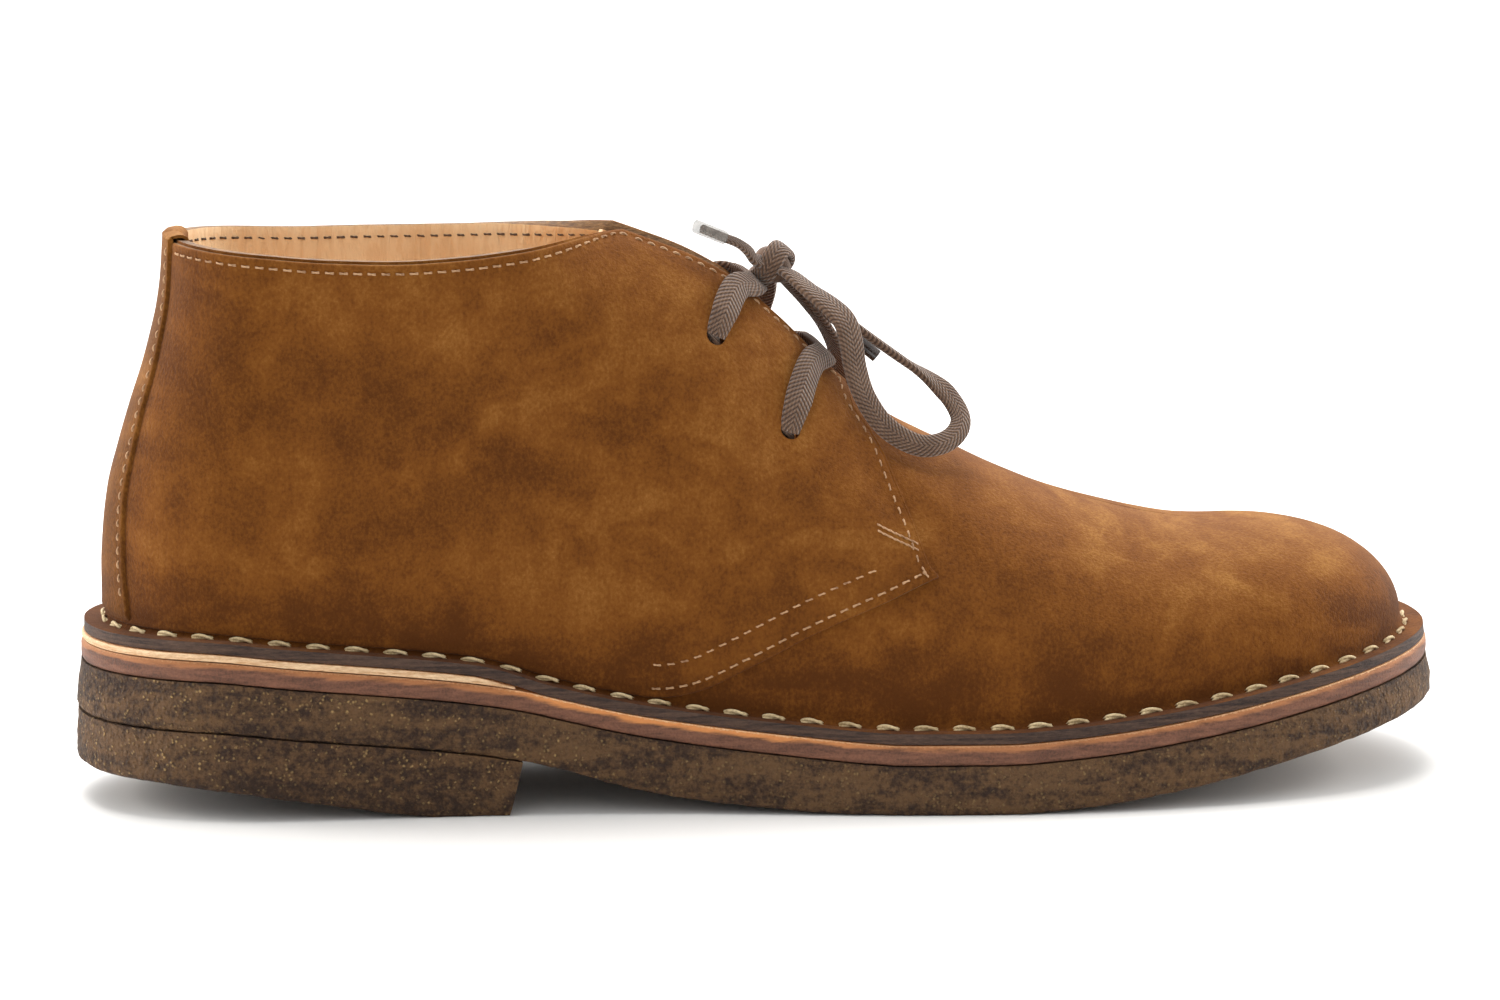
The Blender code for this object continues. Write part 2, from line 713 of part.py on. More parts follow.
def eyelet_places():
    """Point and outward direction of each lace hole."""
    found = []
    for share, height in EYELETS:
        x = at_share(share)
        h = height * INSTEP_HEIGHT
        for side in (-1, 1):
            here = wall_point(side, x, h)
            ahead = wall_point(side, x + MM, h) - here
            above = wall_point(side, x, h + MM) - here
            normal = np.cross(ahead, above)
            normal /= np.linalg.norm(normal)
            found.append((here, normal if normal[1] * side > 0 else -normal))
    return found


def build_upper(collection, cutters):
    """Vamp, quarters and back stay as one hollow shell, open at the collar, throat and foot."""
    upper = new_object("upper", sheet_mesh("upper", upper_columns(), closed=True), collection)
    thicken(upper, WALL, 0)
    quarter = new_object("quarter_form", sheet_mesh("quarter_form", quarter_columns()), cutters)
    thicken(quarter, OVERLAP, QUARTER)
    lift = (QUARTER - OVERLAP / 2) / 1
    stay = new_object("stay_form", sheet_mesh("stay_form", lifted(stay_columns(), lift)), cutters)
    thicken(stay, OVERLAP / 2, BACK_STAY + OVERLAP / 2)
    for form in (quarter, stay):
        join = upper.modifiers.new(form.name, "BOOLEAN")
        join.operation, join.object, join.solver = "UNION", form, "EXACT"
    for number, (here, normal) in enumerate(eyelet_places()):
        bpy.ops.mesh.primitive_cylinder_add(
            vertices=12, radius=EYELET_BORE / 2, depth=6 * WALL, location=here,
            rotation=tuple(direction_angles(normal)),
        )
        hole = bpy.context.object
        hole.name = f"eyelet_hole_{number + 1}"
        for owner in list(hole.users_collection):
            owner.objects.unlink(hole)
        cutters.objects.link(hole)
        cut = upper.modifiers.new(hole.name, "BOOLEAN")
        cut.operation, cut.object, cut.solver = "DIFFERENCE", hole, "EXACT"
    for form in cutters.objects:
        form.hide_render = True
        form.display_type = "WIRE"
    return upper


def direction_angles(normal):
    """Rotation that turns +Z to a direction."""
    x, y, z = normal
    return (0.0, math.acos(max(-1, min(1, z))), math.atan2(y, x))


def top_point(x, across):
    """A point on the rounded top, at a signed distance across from the ridge."""
    side = -1 if across < 0 else 1
    h = float(height_at(x, abs(across)))
    return wall_point(side, x, h)


def top_normal(x, across):
    """Direction out of the rounded top."""
    d = 0.5 * MM
    ahead = top_point(x + d, across) - top_point(x - d, across)
    beside = top_point(x, across + d) - top_point(x, across - d)
    normal = np.cross(ahead, beside)
    normal /= np.linalg.norm(normal)
    return normal if normal[2] > 0 else -normal


def build_tongue(collection):
    """The tongue under the facings, tucked in under the vamp at its root."""
    top, root = HEEL_X + TONGUE_TOP, HEEL_X + SLOT_ROOT + TONGUE_TUCK
    depth = WALL + TONGUE_CLEAR
    columns = []
    for x in np.linspace(top, root, 17):
        share = (x - top) / (root - top)
        half = TONGUE_HALF * (1 - 0.25 * share) * (1 - 0.3 * max(0, 1 - share * 14) ** 2)
        column = []
        for across in np.linspace(-half, half, 9):
            column.append(tuple(top_point(x, across) - top_normal(x, across) * depth))
        columns.append(column)
    tongue = new_object("tongue", sheet_mesh("tongue", columns), collection)
    solid = thicken(tongue, TONGUE, 0)
    mesh = tongue.data
    if sum(p.normal.z for p in mesh.polygons) < 0:
        solid.offset = 1
    return tongue


def lace_bar(name, rows, collection):
    """A flat lace across the facings, on rows of place along X and distance across."""
    rows = np.array(rows)
    path = np.linspace(0, 1, 19)
    points = []
    for k in path:
        x = np.interp(k, np.linspace(0, 1, len(rows)), rows[:, 0])
        y = np.interp(k, np.linspace(0, 1, len(rows)), rows[:, 1])
        sag = BAR_SAG * max(0, 1 - (y / SLOT_HALF) ** 2)
        points.append((top_point(x, y) + top_normal(x, y) * (BAR_LIFT - sag), top_normal(x, y)))
    middle = np.array([p for p, _ in points])
    tangent = np.gradient(middle, axis=0)
    tangent /= np.linalg.norm(tangent, axis=1, keepdims=True)
    columns = []
    for place, (here, normal) in enumerate(points):
        beside = np.cross(normal, tangent[place])
        beside /= np.linalg.norm(beside)
        columns.append([tuple(here + beside * LACE_WIDTH / 2 * s) for s in (-1, 0, 1)])
    bar = new_object(name, sheet_mesh(name, columns), collection)
    solid = thicken(bar, 0, LACE_THICK)
    if sum(p.normal.z for p in bar.data.polygons) < 0:
        solid.offset = -1
    return bar


def smooth_route(points, spacing):
    """Evenly spaced points on a smooth line through the given ones."""
    p = np.array(points, float)
    ends = np.concatenate([[2 * p[0] - p[1]], p, [2 * p[-1] - p[-2]]])
    line = []
    for a, b, c, d in zip(ends, ends[1:], ends[2:], ends[3:]):
        for t in np.linspace(0, 1, 24, endpoint=False):
            line.append(0.5 * (2 * b + (c - a) * t + (2 * a - 5 * b + 4 * c - d) * t**2 + (3 * b - a - 3 * c + d) * t**3))
    line.append(p[-1])
    line = np.array(line)
    run = np.concatenate([[0], np.cumsum(np.linalg.norm(np.diff(line, axis=0), axis=1))])
    even = np.linspace(0, run[-1], max(3, round(run[-1] / spacing) + 1))
    return np.stack([np.interp(even, run, line[:, k]) for k in range(3)], 1)


def cord(name, points, diameter, collection):
    """A round cord along a smooth route."""
    curve = bpy.data.curves.new(name, "CURVE")
    curve.dimensions = "3D"
    curve.bevel_depth = diameter / 2
    curve.bevel_resolution = 2
    curve.use_fill_caps = True
    route = smooth_route(points, 2.2 * diameter)
    spline = curve.splines.new("POLY")
    spline.points.add(len(route) - 1)
    for point, place in zip(spline.points, route):
        point.co = (*place, 1)
    return new_object(name, curve, collection)


# Routes of the free laces from the knot, in millimetres: place along X, distance across, height over the wall.
LOOP_INNER = [
    (-3.0, 4.0, 6.0), (-1.2, 9.8, 5.2), (-1.2, 15.5, 4.4), (-3.0, 21.0, 4.2), (-4.9, 26.5, 4.7), (-1.5, 32.0, 4.7),
    (6.0, 33.5, 4.2), (13.0, 32.0, 4.0), (18.5, 28.5, 4.0), (20.0, 24.5, 4.0), (18.5, 19.5, 4.4), (16.8, 14.5, 5.4),
    (14.2, 10.2, 6.2), (10.0, 6.8, 6.7), (5.6, 4.6, 6.4), (1.5, 3.1, 6.0),
]
# The same in millimetres along X, Y and Z, for those that stand off the instep.
LOOP_OUTER = [
    (4.6, -7.6, 115.5), (8.3, -11.0, 112.4), (12.5, -14.0, 109.2), (15.6, -16.0, 105.8), (16.8, -17.2, 101.5),
    (17.7, -18.3, 95.3), (19.9, -19.6, 88.7), (24.4, -20.5, 82.3), (31.0, -20.5, 78.3), (36.2, -19.5, 78.0),
    (40.6, -17.0, 79.7), (42.5, -14.0, 83.0), (40.4, -11.5, 87.6), (36.2, -10.0, 91.6), (30.2, -9.0, 95.7),
    (23.8, -8.0, 100.3), (18.8, -7.5, 104.1), (13.2, -6.3, 108.7), (7.9, -4.8, 113.3),
]
END_OUTER = [(-3.3, -6.6, 118.8), (-5.2, -8.6, 121.2), (-7.8, -10.3, 123.2), (-10.6, -11.3, 124.4)]
END_INNER = [(6.8, -0.3, 113.9), (9.8, -0.5, 109.8), (13.4, -0.8, 106.0), (17.4, -1.2, 102.6)]


def tip(name, start, end, bore, collection):
    """A lace tip from one point to another."""
    start, end = np.array(start), np.array(end)
    run = end - start
    length = float(np.linalg.norm(run))
    bpy.ops.mesh.primitive_cylinder_add(
        vertices=12, radius=bore / 2, depth=length, location=(start + end) / 2,
        rotation=direction_angles(run / length),
    )
    obj = bpy.context.object
    obj.name = obj.data.name = name
    for owner in list(obj.users_collection):
        owner.objects.unlink(obj)
    collection.objects.link(obj)
    return obj


def build_laces(collection):
    """Two bars over the facings, then the knot, its loops and its tipped ends."""
    upper_x, lower_x = (at_share(share) for share, _ in EYELETS)
    reach = [abs(float(wall_half(at_share(s), h * INSTEP_HEIGHT))) for s, h in EYELETS]
    across = SLOT_HALF
    lace_bar(
        "lace_lower",
        [(lower_x, -reach[1]), (lower_x + 5 * MM, -0.6 * reach[1]), (lower_x + 9 * MM, -across), (lower_x + 10 * MM, 0),
         (lower_x + 9 * MM, across), (lower_x + 5 * MM, 0.6 * reach[1]), (lower_x, reach[1])],
        collection,
    )
    lace_bar(
        "lace_upper",
        [(upper_x, -reach[0]), (upper_x + 5 * MM, -0.6 * reach[0]), (upper_x + 9 * MM, -across), (upper_x + KNOT_AHEAD, 0),
         (upper_x + 9 * MM, across), (upper_x + 5 * MM, 0.6 * reach[0]), (upper_x, reach[0])],
        collection,
    )
    seat, normal = top_point(upper_x + KNOT_AHEAD, KNOT_SIDE), top_normal(upper_x + KNOT_AHEAD, KNOT_SIDE)
    centre = seat + normal * (BAR_LIFT - BAR_SAG + LACE_THICK + 2 * GAP + KNOT * KNOT_SHAPE[2] / 2)
    bpy.ops.mesh.primitive_uv_sphere_add(
        segments=16, ring_count=9, radius=KNOT / 2, location=centre, rotation=direction_angles(normal)
    )
    knot = bpy.context.object
    knot.name = knot.data.name = "lace_knot"
    knot.scale = KNOT_SHAPE
    for owner in list(knot.users_collection):
        owner.objects.unlink(knot)
    collection.objects.link(knot)
    inner = [(top_point(x * MM, y * MM) + top_normal(x * MM, y * MM) * lift * MM) / MM for x, y, lift in LOOP_INNER]
    for name, route in (("lace_loop_outer", LOOP_OUTER), ("lace_loop_inner", inner),
                        ("lace_end_outer", END_OUTER), ("lace_end_inner", END_INNER)):
        cord(name, np.array(route) * MM, LACE_TUBE, collection)
    for name, route, length in (("lace_tip_outer", END_OUTER, 8 * MM), ("lace_tip_inner", END_INNER, 10 * MM)):
        ends = np.array(route[-2:]) * MM
        ahead = (ends[1] - ends[0]) / np.linalg.norm(ends[1] - ends[0])
        start = ends[1] + ahead * GAP
        tip(name, start, start + ahead * length, AGLET_BORE, collection)


# node, base colour, roughness, metallic
FINISHES = (
    ("outsole", (0.19, 0.12, 0.055), 0.9, 0.0),
    ("heel", (0.16, 0.10, 0.045), 0.9, 0.0),
    ("midsole", (0.40, 0.17, 0.085), 0.75, 0.0),
    ("heel_rand", (0.62, 0.44, 0.26), 0.7, 0.0),
    ("insole", (0.62, 0.36, 0.17), 0.6, 0.0),
    ("upper", (0.24, 0.115, 0.035), 0.95, 0.0),
    ("tongue", (0.22, 0.105, 0.035), 0.95, 0.0),
    ("lace_lower", (0.17, 0.095, 0.055), 0.85, 0.0),
    ("lace_upper", (0.17, 0.095, 0.055), 0.85, 0.0),
    ("lace_knot", (0.16, 0.09, 0.052), 0.85, 0.0),
    ("lace_loop_outer", (0.17, 0.095, 0.055), 0.85, 0.0),
    ("lace_loop_inner", (0.15, 0.085, 0.05), 0.85, 0.0),
    ("lace_end_outer", (0.17, 0.095, 0.055), 0.85, 0.0),
    ("lace_end_inner", (0.15, 0.085, 0.05), 0.85, 0.0),
    ("lace_tip_outer", (0.55, 0.50, 0.42), 0.25, 0.0),
    ("lace_tip_inner", (0.05, 0.04, 0.035), 0.3, 0.0),
)


def finish_parts():
    """Gives each piece its own material and smooth shading."""
    for name, colour, roughness, metallic in FINISHES:
        obj = bpy.data.objects[name]
        material = bpy.data.materials.new(name)
        material.use_nodes = True
        shader = material.node_tree.nodes["Principled BSDF"]
        shader.inputs["Base Color"].default_value = (*colour, 1)
        shader.inputs["Roughness"].default_value = roughness
        shader.inputs["Metallic"].default_value = metallic
        obj.data.materials.append(material)
        if obj.type == "MESH":
            obj.data.shade_smooth()
            obj.data.set_sharp_from_angle(angle=math.radians(40))


def main():
    for obj in list(bpy.data.objects):
        bpy.data.objects.remove(obj, do_unlink=True)
    boot = bpy.data.collections.new("desert_boot")
    cutters = bpy.data.collections.new("forms")
    for collection in (boot, cutters):
        bpy.context.scene.collection.children.link(collection)
    build_outsole(boot)
    build_heel(boot)
    build_midsole(boot)
    build_rand(boot)
    build_insole(boot)
    build_upper(boot, cutters)
    build_tongue(boot)
    build_laces(boot)
    finish_parts()


main()
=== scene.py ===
"""Visual model of a right suede desert boot on a layered crepe sole, in the frame of its solids."""

from __future__ import annotations

import logging
import math
from collections.abc import Callable
from dataclasses import dataclass
from enum import Enum

import bpy
import numpy as np
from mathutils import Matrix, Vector

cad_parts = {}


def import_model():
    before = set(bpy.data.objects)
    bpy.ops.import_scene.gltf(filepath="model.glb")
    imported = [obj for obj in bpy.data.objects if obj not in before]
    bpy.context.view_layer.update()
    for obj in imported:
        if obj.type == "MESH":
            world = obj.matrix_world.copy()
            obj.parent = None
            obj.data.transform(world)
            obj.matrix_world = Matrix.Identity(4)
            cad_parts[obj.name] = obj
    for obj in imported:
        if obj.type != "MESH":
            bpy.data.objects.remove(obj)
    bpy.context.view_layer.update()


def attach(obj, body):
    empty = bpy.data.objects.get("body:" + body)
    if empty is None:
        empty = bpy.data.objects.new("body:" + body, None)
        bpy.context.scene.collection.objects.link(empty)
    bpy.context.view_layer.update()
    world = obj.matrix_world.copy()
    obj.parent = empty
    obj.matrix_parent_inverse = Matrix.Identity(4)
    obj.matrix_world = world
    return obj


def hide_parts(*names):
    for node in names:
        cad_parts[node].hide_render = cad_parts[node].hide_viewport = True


LOG = logging.getLogger("desert_boot")
MM = 0.001
CORD_SIDES = 18
CRUMB_DEPTH = 0.42 * MM
Array = np.ndarray
Color = tuple[float, float, float]

# along, half width, shift to the inner side (shares of half the ball's width)
OUTLINE = np.array(
    [
        (0.00, 0.680, 0.000), (0.12, 0.685, 0.000), (0.25, 0.690, -0.010), (0.33, 0.685, -0.030),
        (0.40, 0.710, -0.045), (0.47, 0.775, -0.050), (0.55, 0.875, -0.040), (0.62, 0.950, -0.018),
        (0.68, 0.990, 0.000), (0.73, 1.000, 0.020), (0.79, 0.985, 0.045), (0.85, 0.955, 0.072),
        (0.92, 0.940, 0.100), (1.00, 0.930, 0.125),
    ]
)
# along, share of the heel's rise, share of the toe spring, swelling of the crepe sheet
SHEET_LINE = np.array(
    [
        (0.000, 1.000, 0.00, 0.000), (0.090, 0.985, 0.00, 0.000), (0.157, 0.885, 0.00, 0.000),
        (0.260, 0.725, 0.00, 0.000), (0.308, 0.610, 0.00, 0.000), (0.340, 0.490, 0.00, 0.000),
        (0.370, 0.380, 0.00, 0.060), (0.400, 0.290, 0.00, 0.100), (0.440, 0.200, 0.00, 0.115),
        (0.508, 0.085, 0.00, 0.090), (0.555, 0.018, 0.00, 0.015), (0.575, 0.000, 0.00, 0.000),
        (0.645, 0.000, 0.00, 0.000), (0.690, 0.000, 0.05, 0.000), (0.737, 0.000, 0.14, -0.010),
        (0.782, 0.000, 0.26, -0.040), (0.828, 0.000, 0.41, -0.080), (0.873, 0.000, 0.58, -0.115),
        (0.925, 0.000, 0.77, -0.145), (0.977, 0.000, 0.94, -0.160), (1.000, 0.000, 1.00, -0.160),
    ]
)
# share of the heel's length, share of its rocker
ROCKER = np.array(
    [(0.00, 1.00), (0.15, 0.96), (0.32, 0.80), (0.52, 0.48), (0.68, 0.20), (0.78, 0.05), (0.84, 0.0),
     (1.0, 0.0)]
)
# along, ridge height, depth of its rounding, exponent, width at the top, shift of the ridge
RIDGE = np.array(
    [
        (0.120, 1.900, 0.42, 2.00, 0.865, 0.000), (0.160, 1.850, 0.42, 2.00, 0.930, 0.000),
        (0.225, 1.750, 0.42, 2.00, 1.000, 0.000), (0.270, 1.600, 0.42, 2.00, 0.985, 0.000),
        (0.305, 1.370, 0.40, 2.00, 0.940, 0.000), (0.335, 1.175, 0.35, 2.00, 0.885, 0.000),
        (0.358, 1.080, 0.32, 2.00, 0.865, 0.000), (0.380, 1.043, 0.33, 2.00, 0.850, 0.000),
        (0.405, 1.030, 0.38, 2.00, 0.842, 0.000), (0.436, 1.010, 0.47, 2.00, 0.840, 0.000),
        (0.468, 0.972, 0.60, 2.00, 0.845, 0.000), (0.500, 0.898, 0.73, 2.00, 0.860, 0.000),
        (0.532, 0.799, 0.72, 2.00, 0.890, 0.000), (0.564, 0.702, 0.64, 2.00, 0.930, 0.010),
        (0.590, 0.643, 0.59, 2.02, 0.960, 0.020), (0.615, 0.602, 0.56, 2.05, 0.980, 0.030),
        (0.644, 0.558, 0.52, 2.08, 1.000, 0.040), (0.673, 0.510, 0.47, 2.12, 1.000, 0.050),
        (0.708, 0.455, 0.42, 2.16, 1.000, 0.060), (0.740, 0.411, 0.38, 2.20, 1.000, 0.070),
        (0.785, 0.357, 0.33, 2.26, 1.000, 0.078), (0.820, 0.323, 0.30, 2.32, 1.000, 0.084),
        (0.860, 0.298, 0.27, 2.38, 1.000, 0.090), (1.000, 0.250, 0.23, 2.40, 1.000, 0.100),
    ]
)
# along, collar height at the outer and the inner side
COLLAR = np.array(
    [
        (0.060, 1.003, 1.003), (0.128, 0.978, 0.988), (0.179, 0.963, 0.982), (0.228, 0.959, 0.982),
        (0.276, 0.967, 0.983), (0.317, 0.982, 0.988), (0.353, 0.998, 0.998), (0.378, 1.005, 1.005),
        (0.420, 1.008, 1.008),
    ]
)
# share of the shaft's height, share of the heel's lean
BACK_LINE = np.array(
    [
        (0.00, 0.000), (0.05, 0.060), (0.13, 0.060), (0.24, 0.095), (0.344, 0.170), (0.45, 0.320),
        (0.555, 0.490), (0.66, 0.680), (0.737, 0.795), (0.81, 0.890), (0.89, 0.955), (1.00, 1.000),
    ]
)
# along, height over the flange: the quarters' lower edge, then their front edge
QUARTER_FOOT = np.array(
    [
        (0.000, 0.010), (0.395, 0.010), (0.412, 0.016), (0.434, 0.038), (0.470, 0.104), (0.520, 0.203),
        (0.562, 0.270), (0.600, 0.323), (0.606, 0.330),
    ]
)
QUARTER_FRONT = np.array(
    [(0.552, 0.690), (0.570, 0.605), (0.580, 0.530), (0.590, 0.450), (0.600, 0.352), (0.606, 0.332)]
)
# along, height over the flange: upper and lower lace holes
EYELETS = ((0.4535, 0.819), (0.505, 0.628))
# soft creases by side: along X, height over the floor (mm), angle (degrees), length, width, depth (mm)
OUTER_CREASES = np.array(
    [
        (24.0, 66.0, -52.0, 26.0, 3.2, 0.55), (33.0, 62.0, -46.0, 24.0, 3.0, 0.45),
        (80.0, 55.0, -8.0, 26.0, 5.0, 0.35),
        (-30.0, 78.0, 30.0, 24.0, 5.0, 0.55), (-42.0, 66.0, 24.0, 28.0, 6.0, 0.50),
        (-95.0, 72.0, -14.0, 30.0, 7.0, 0.45),
        (-8.0, 58.0, -35.0, 26.0, 6.0, 0.40), (58.0, 44.0, 12.0, 26.0, 5.0, 0.30),
        (-70.0, 100.0, -10.0, 34.0, 6.0, 0.40),
    ]
)
INNER_CREASES = np.array(
    [
        (26.0, 64.0, -50.0, 26.0, 3.4, 0.55), (36.0, 60.0, -44.0, 24.0, 3.0, 0.40),
        (74.0, 50.0, -10.0, 28.0, 5.0, 0.35),
        (-34.0, 80.0, 26.0, 26.0, 5.0, 0.60), (-50.0, 68.0, 20.0, 30.0, 6.0, 0.50),
        (-100.0, 66.0, -12.0, 30.0, 7.0, 0.45),
        (-4.0, 52.0, -30.0, 26.0, 6.0, 0.45), (-76.0, 96.0, -6.0, 34.0, 6.0, 0.40),
    ]
)

# Routes of the free laces from the knot (mm): place along X, distance across, height over the wall.
LOOP_INNER = [
    (-3.0, 4.0, 6.0), (-1.2, 9.8, 5.2), (-1.2, 15.5, 4.4), (-3.0, 21.0, 4.2), (-4.9, 26.5, 4.7),
    (-1.5, 32.0, 4.7),
    (6.0, 33.5, 4.2), (13.0, 32.0, 4.0), (18.5, 28.5, 4.0), (20.0, 24.5, 4.0), (18.5, 19.5, 4.4),
    (16.8, 14.5, 5.4),
    (14.2, 10.2, 6.2), (10.0, 6.8, 6.7), (5.6, 4.6, 6.4), (1.5, 3.1, 6.0),
]
# The same in millimetres along X, Y and Z, for those that stand off the instep.
LOOP_OUTER = [
    (4.6, -7.6, 115.5), (8.3, -11.0, 112.4), (12.5, -14.0, 109.2), (15.6, -16.0, 105.8),
    (16.8, -17.2, 101.5),
    (17.7, -18.3, 95.3), (19.9, -19.6, 88.7), (24.4, -20.5, 82.3), (31.0, -20.5, 78.3), (36.2, -19.5, 78.0),
    (40.6, -17.0, 79.7), (42.5, -14.0, 83.0), (40.4, -11.5, 87.6), (36.2, -10.0, 91.6), (30.2, -9.0, 95.7),
    (23.8, -8.0, 100.3), (18.8, -7.5, 104.1), (13.2, -6.3, 108.7), (7.9, -4.8, 113.3),
]
END_OUTER = [(-3.3, -6.6, 118.8), (-5.2, -8.6, 121.2), (-7.8, -10.3, 123.2), (-10.6, -11.3, 124.4)]
END_INNER = [(6.8, -0.3, 113.9), (9.8, -0.5, 109.8), (13.4, -0.8, 106.0), (17.4, -1.2, 102.6)]


# name, place (m), size (m), power (W), colour
LAMPS = (
    ("key", (-0.1, 0.3, 1.5), 1.0, 22.0, (1.0, 0.98, 0.95)),
    ("left_rim", (-1.1, 0.3, 0.45), 0.5, 8.0, (1.0, 0.97, 0.93)),
    ("right_rim", (1.1, 0.35, 0.45), 0.5, 9.0, (1.0, 0.97, 0.93)),
    ("backdrop", (0.0, 3.4, 2.6), 3.0, 150.0, (1.0, 1.0, 1.0)),
)
# share of the outer lace's run, direction of its flat face
OUTER_FACES = np.array(
    [
        (0.00, 0.50, -0.40, 0.80), (0.06, 0.50, -0.50, 0.70), (0.16, 0.35, -0.95, 0.25),
        (0.32, 0.20, -1.00, 0.10),
        (0.42, 0.10, -1.00, 0.35), (0.50, 0.50, -0.50, -0.20), (0.56, 0.75, -0.10, 0.30),
        (0.66, 0.67, 0.00, 0.74),
        (0.80, 0.67, 0.00, 0.74), (1.00, 0.60, -0.30, 0.74),
    ]
)
# share of a free lace's run, share of its full width
OUTER_WIDTHS = np.array(
    [(0.0, 0.9), (0.05, 1.1), (0.12, 1.15), (0.25, 0.95), (0.5, 0.9), (0.8, 0.85), (1.0, 0.85)]
)
INNER_WIDTHS = np.array([(0.0, 0.9), (0.1, 1.0), (0.5, 0.95), (0.9, 0.9), (1.0, 0.85)])
# the back stay's fold over the collar: height over the rim and distance out of the wall, in millimetres
STAY_FOLD = (
    (0.0, 1.0), (0.7, 0.65), (1.15, -0.2), (1.15, -1.4), (0.7, -2.4), (-0.3, -2.95), (-3.0, -2.95),
    (-7.5, -2.9),
)
# shares of the quarter's front edge, from facing to corner, at which it is shaped
FRONT_SHARES = (
    0.04, 0.09, 0.15, 0.22, 0.3, 0.38, 0.46, 0.54, 0.62, 0.7, 0.77, 0.83, 0.88, 0.92, 0.955, 0.98, 0.995, 1.0,
)
# distances from a layer's cut edge at which it is shaped, in millimetres
EDGE_STEPS = (0.0, 0.02, 0.16, 0.4, 0.8, 1.3, 1.7, 2.1, 2.6)
# shares of a crepe layer's height at which its edge is shaped
CREPE_LEVELS = (0.0, 0.05, 0.12, 0.22, 0.34, 0.46, 0.58, 0.7, 0.82, 0.92, 1.0)


class Side(Enum):
    """The two sides of the right foot's shoe."""

    OUTER = -1
    INNER = 1


def smooth(rows: Array, column: int, at: Array | float) -> Array:
    """A table's column on a smooth line that never overshoots its rows.

    Args:
        rows: table whose first column is the place.
        column: column to read.
        at: places to read it at.

    Returns:
        The column's values there.
    """
    x, y = rows[:, 0], rows[:, column]
    at = np.clip(np.asarray(at, float), x[0], x[-1])
    h = np.diff(x)
    rise = np.diff(y) / h
    slope = np.zeros(len(x))
    same = rise[:-1] * rise[1:] > 0
    a, b = h[1:] * 2 + h[:-1], h[1:] + h[:-1] * 2
    with np.errstate(divide="ignore", invalid="ignore"):
        inner = (a + b) / (a / rise[:-1] + b / rise[1:])
    slope[1:-1] = np.where(same, inner, 0)
    slope[0], slope[-1] = rise[0], rise[-1]
    i = np.clip(np.searchsorted(x, at) - 1, 0, len(h) - 1)
    t = (at - x[i]) / h[i]
    return (
        y[i] * (1 + 2 * t) * (1 - t) ** 2
        + slope[i] * h[i] * t * (1 - t) ** 2
        + y[i + 1] * t**2 * (3 - 2 * t)
        + slope[i + 1] * h[i] * t**2 * (t - 1)
    )


def cap(t: Array | float, power: Array | float) -> Array:
    """Quarter of a superellipse: 1 at t <= 0 and 0 at t = 1."""
    return (1 - np.clip(t, 0, 1) ** power) ** (1 / power)


def unit(v: Array) -> Array:
    """The vectors at length 1."""
    return v / np.maximum(np.linalg.norm(v, axis=-1, keepdims=True), 1e-12)


def run_of(points: Array) -> Array:
    """Length run up to each point of a line."""
    return np.concatenate([[0], np.cumsum(np.linalg.norm(np.diff(points, axis=0), axis=1))])


def at_runs(runs: Array, run: Array, values: Array) -> Array:
    """Columns of values read at some runs of a line."""
    return np.stack([np.interp(runs, run, values[:, k]) for k in range(values.shape[1])], 1)


def resampled(points: Array, count: int) -> Array:
    """Evenly spaced points on a line of points."""
    run = run_of(points)
    return at_runs(np.linspace(0, run[-1], count), run, points)


def rounded_route(points: Array, count: int) -> Array:
    """Evenly spaced points on a smooth line through the given ones.

    Args:
        points: points that the line passes through.
        count: number of points wanted.

    Returns:
        That many points.
    """
    p = np.asarray(points, float)
    ends = np.concatenate([[2 * p[0] - p[1]], p, [2 * p[-1] - p[-2]]])
    line = []
    for a, b, c, d in zip(ends, ends[1:], ends[2:], ends[3:]):
        for t in np.linspace(0, 1, 24, endpoint=False):
            bend = (2 * a - 5 * b + 4 * c - d) * t**2 + (3 * b - a - 3 * c + d) * t**3
            line.append(0.5 * (2 * b + (c - a) * t + bend))
    line.append(p[-1])
    return resampled(np.array(line), count)


def length_of(points: Array) -> float:
    """Length of a line of points."""
    return float(run_of(points)[-1])


def wobble(p: Array, size: float, seed: float = 0.0) -> Array:
    """Smooth unevenness between -1 and 1.

    Args:
        p: points, in metres.
        size: size of its humps, in metres.
        seed: moves the pattern.

    Returns:
        One value a point.
    """
    q = p / size
    x, y, z = q[..., 0], q[..., 1], q[..., 2]
    a = np.sin(x * 1.7 + seed + 1.3 * np.sin(z * 1.1 + seed)) * np.cos(y * 1.3 - seed)
    b = np.sin(z * 2.1 - 0.7 * seed + 1.1 * np.sin(x * 1.9)) * np.cos(x * 0.9 + y)
    c = np.sin(x * 3.7 + z * 3.1 + 2.0 * seed) * np.sin(y * 3.3 + 1.7)
    return 0.45 * a + 0.35 * b + 0.2 * c


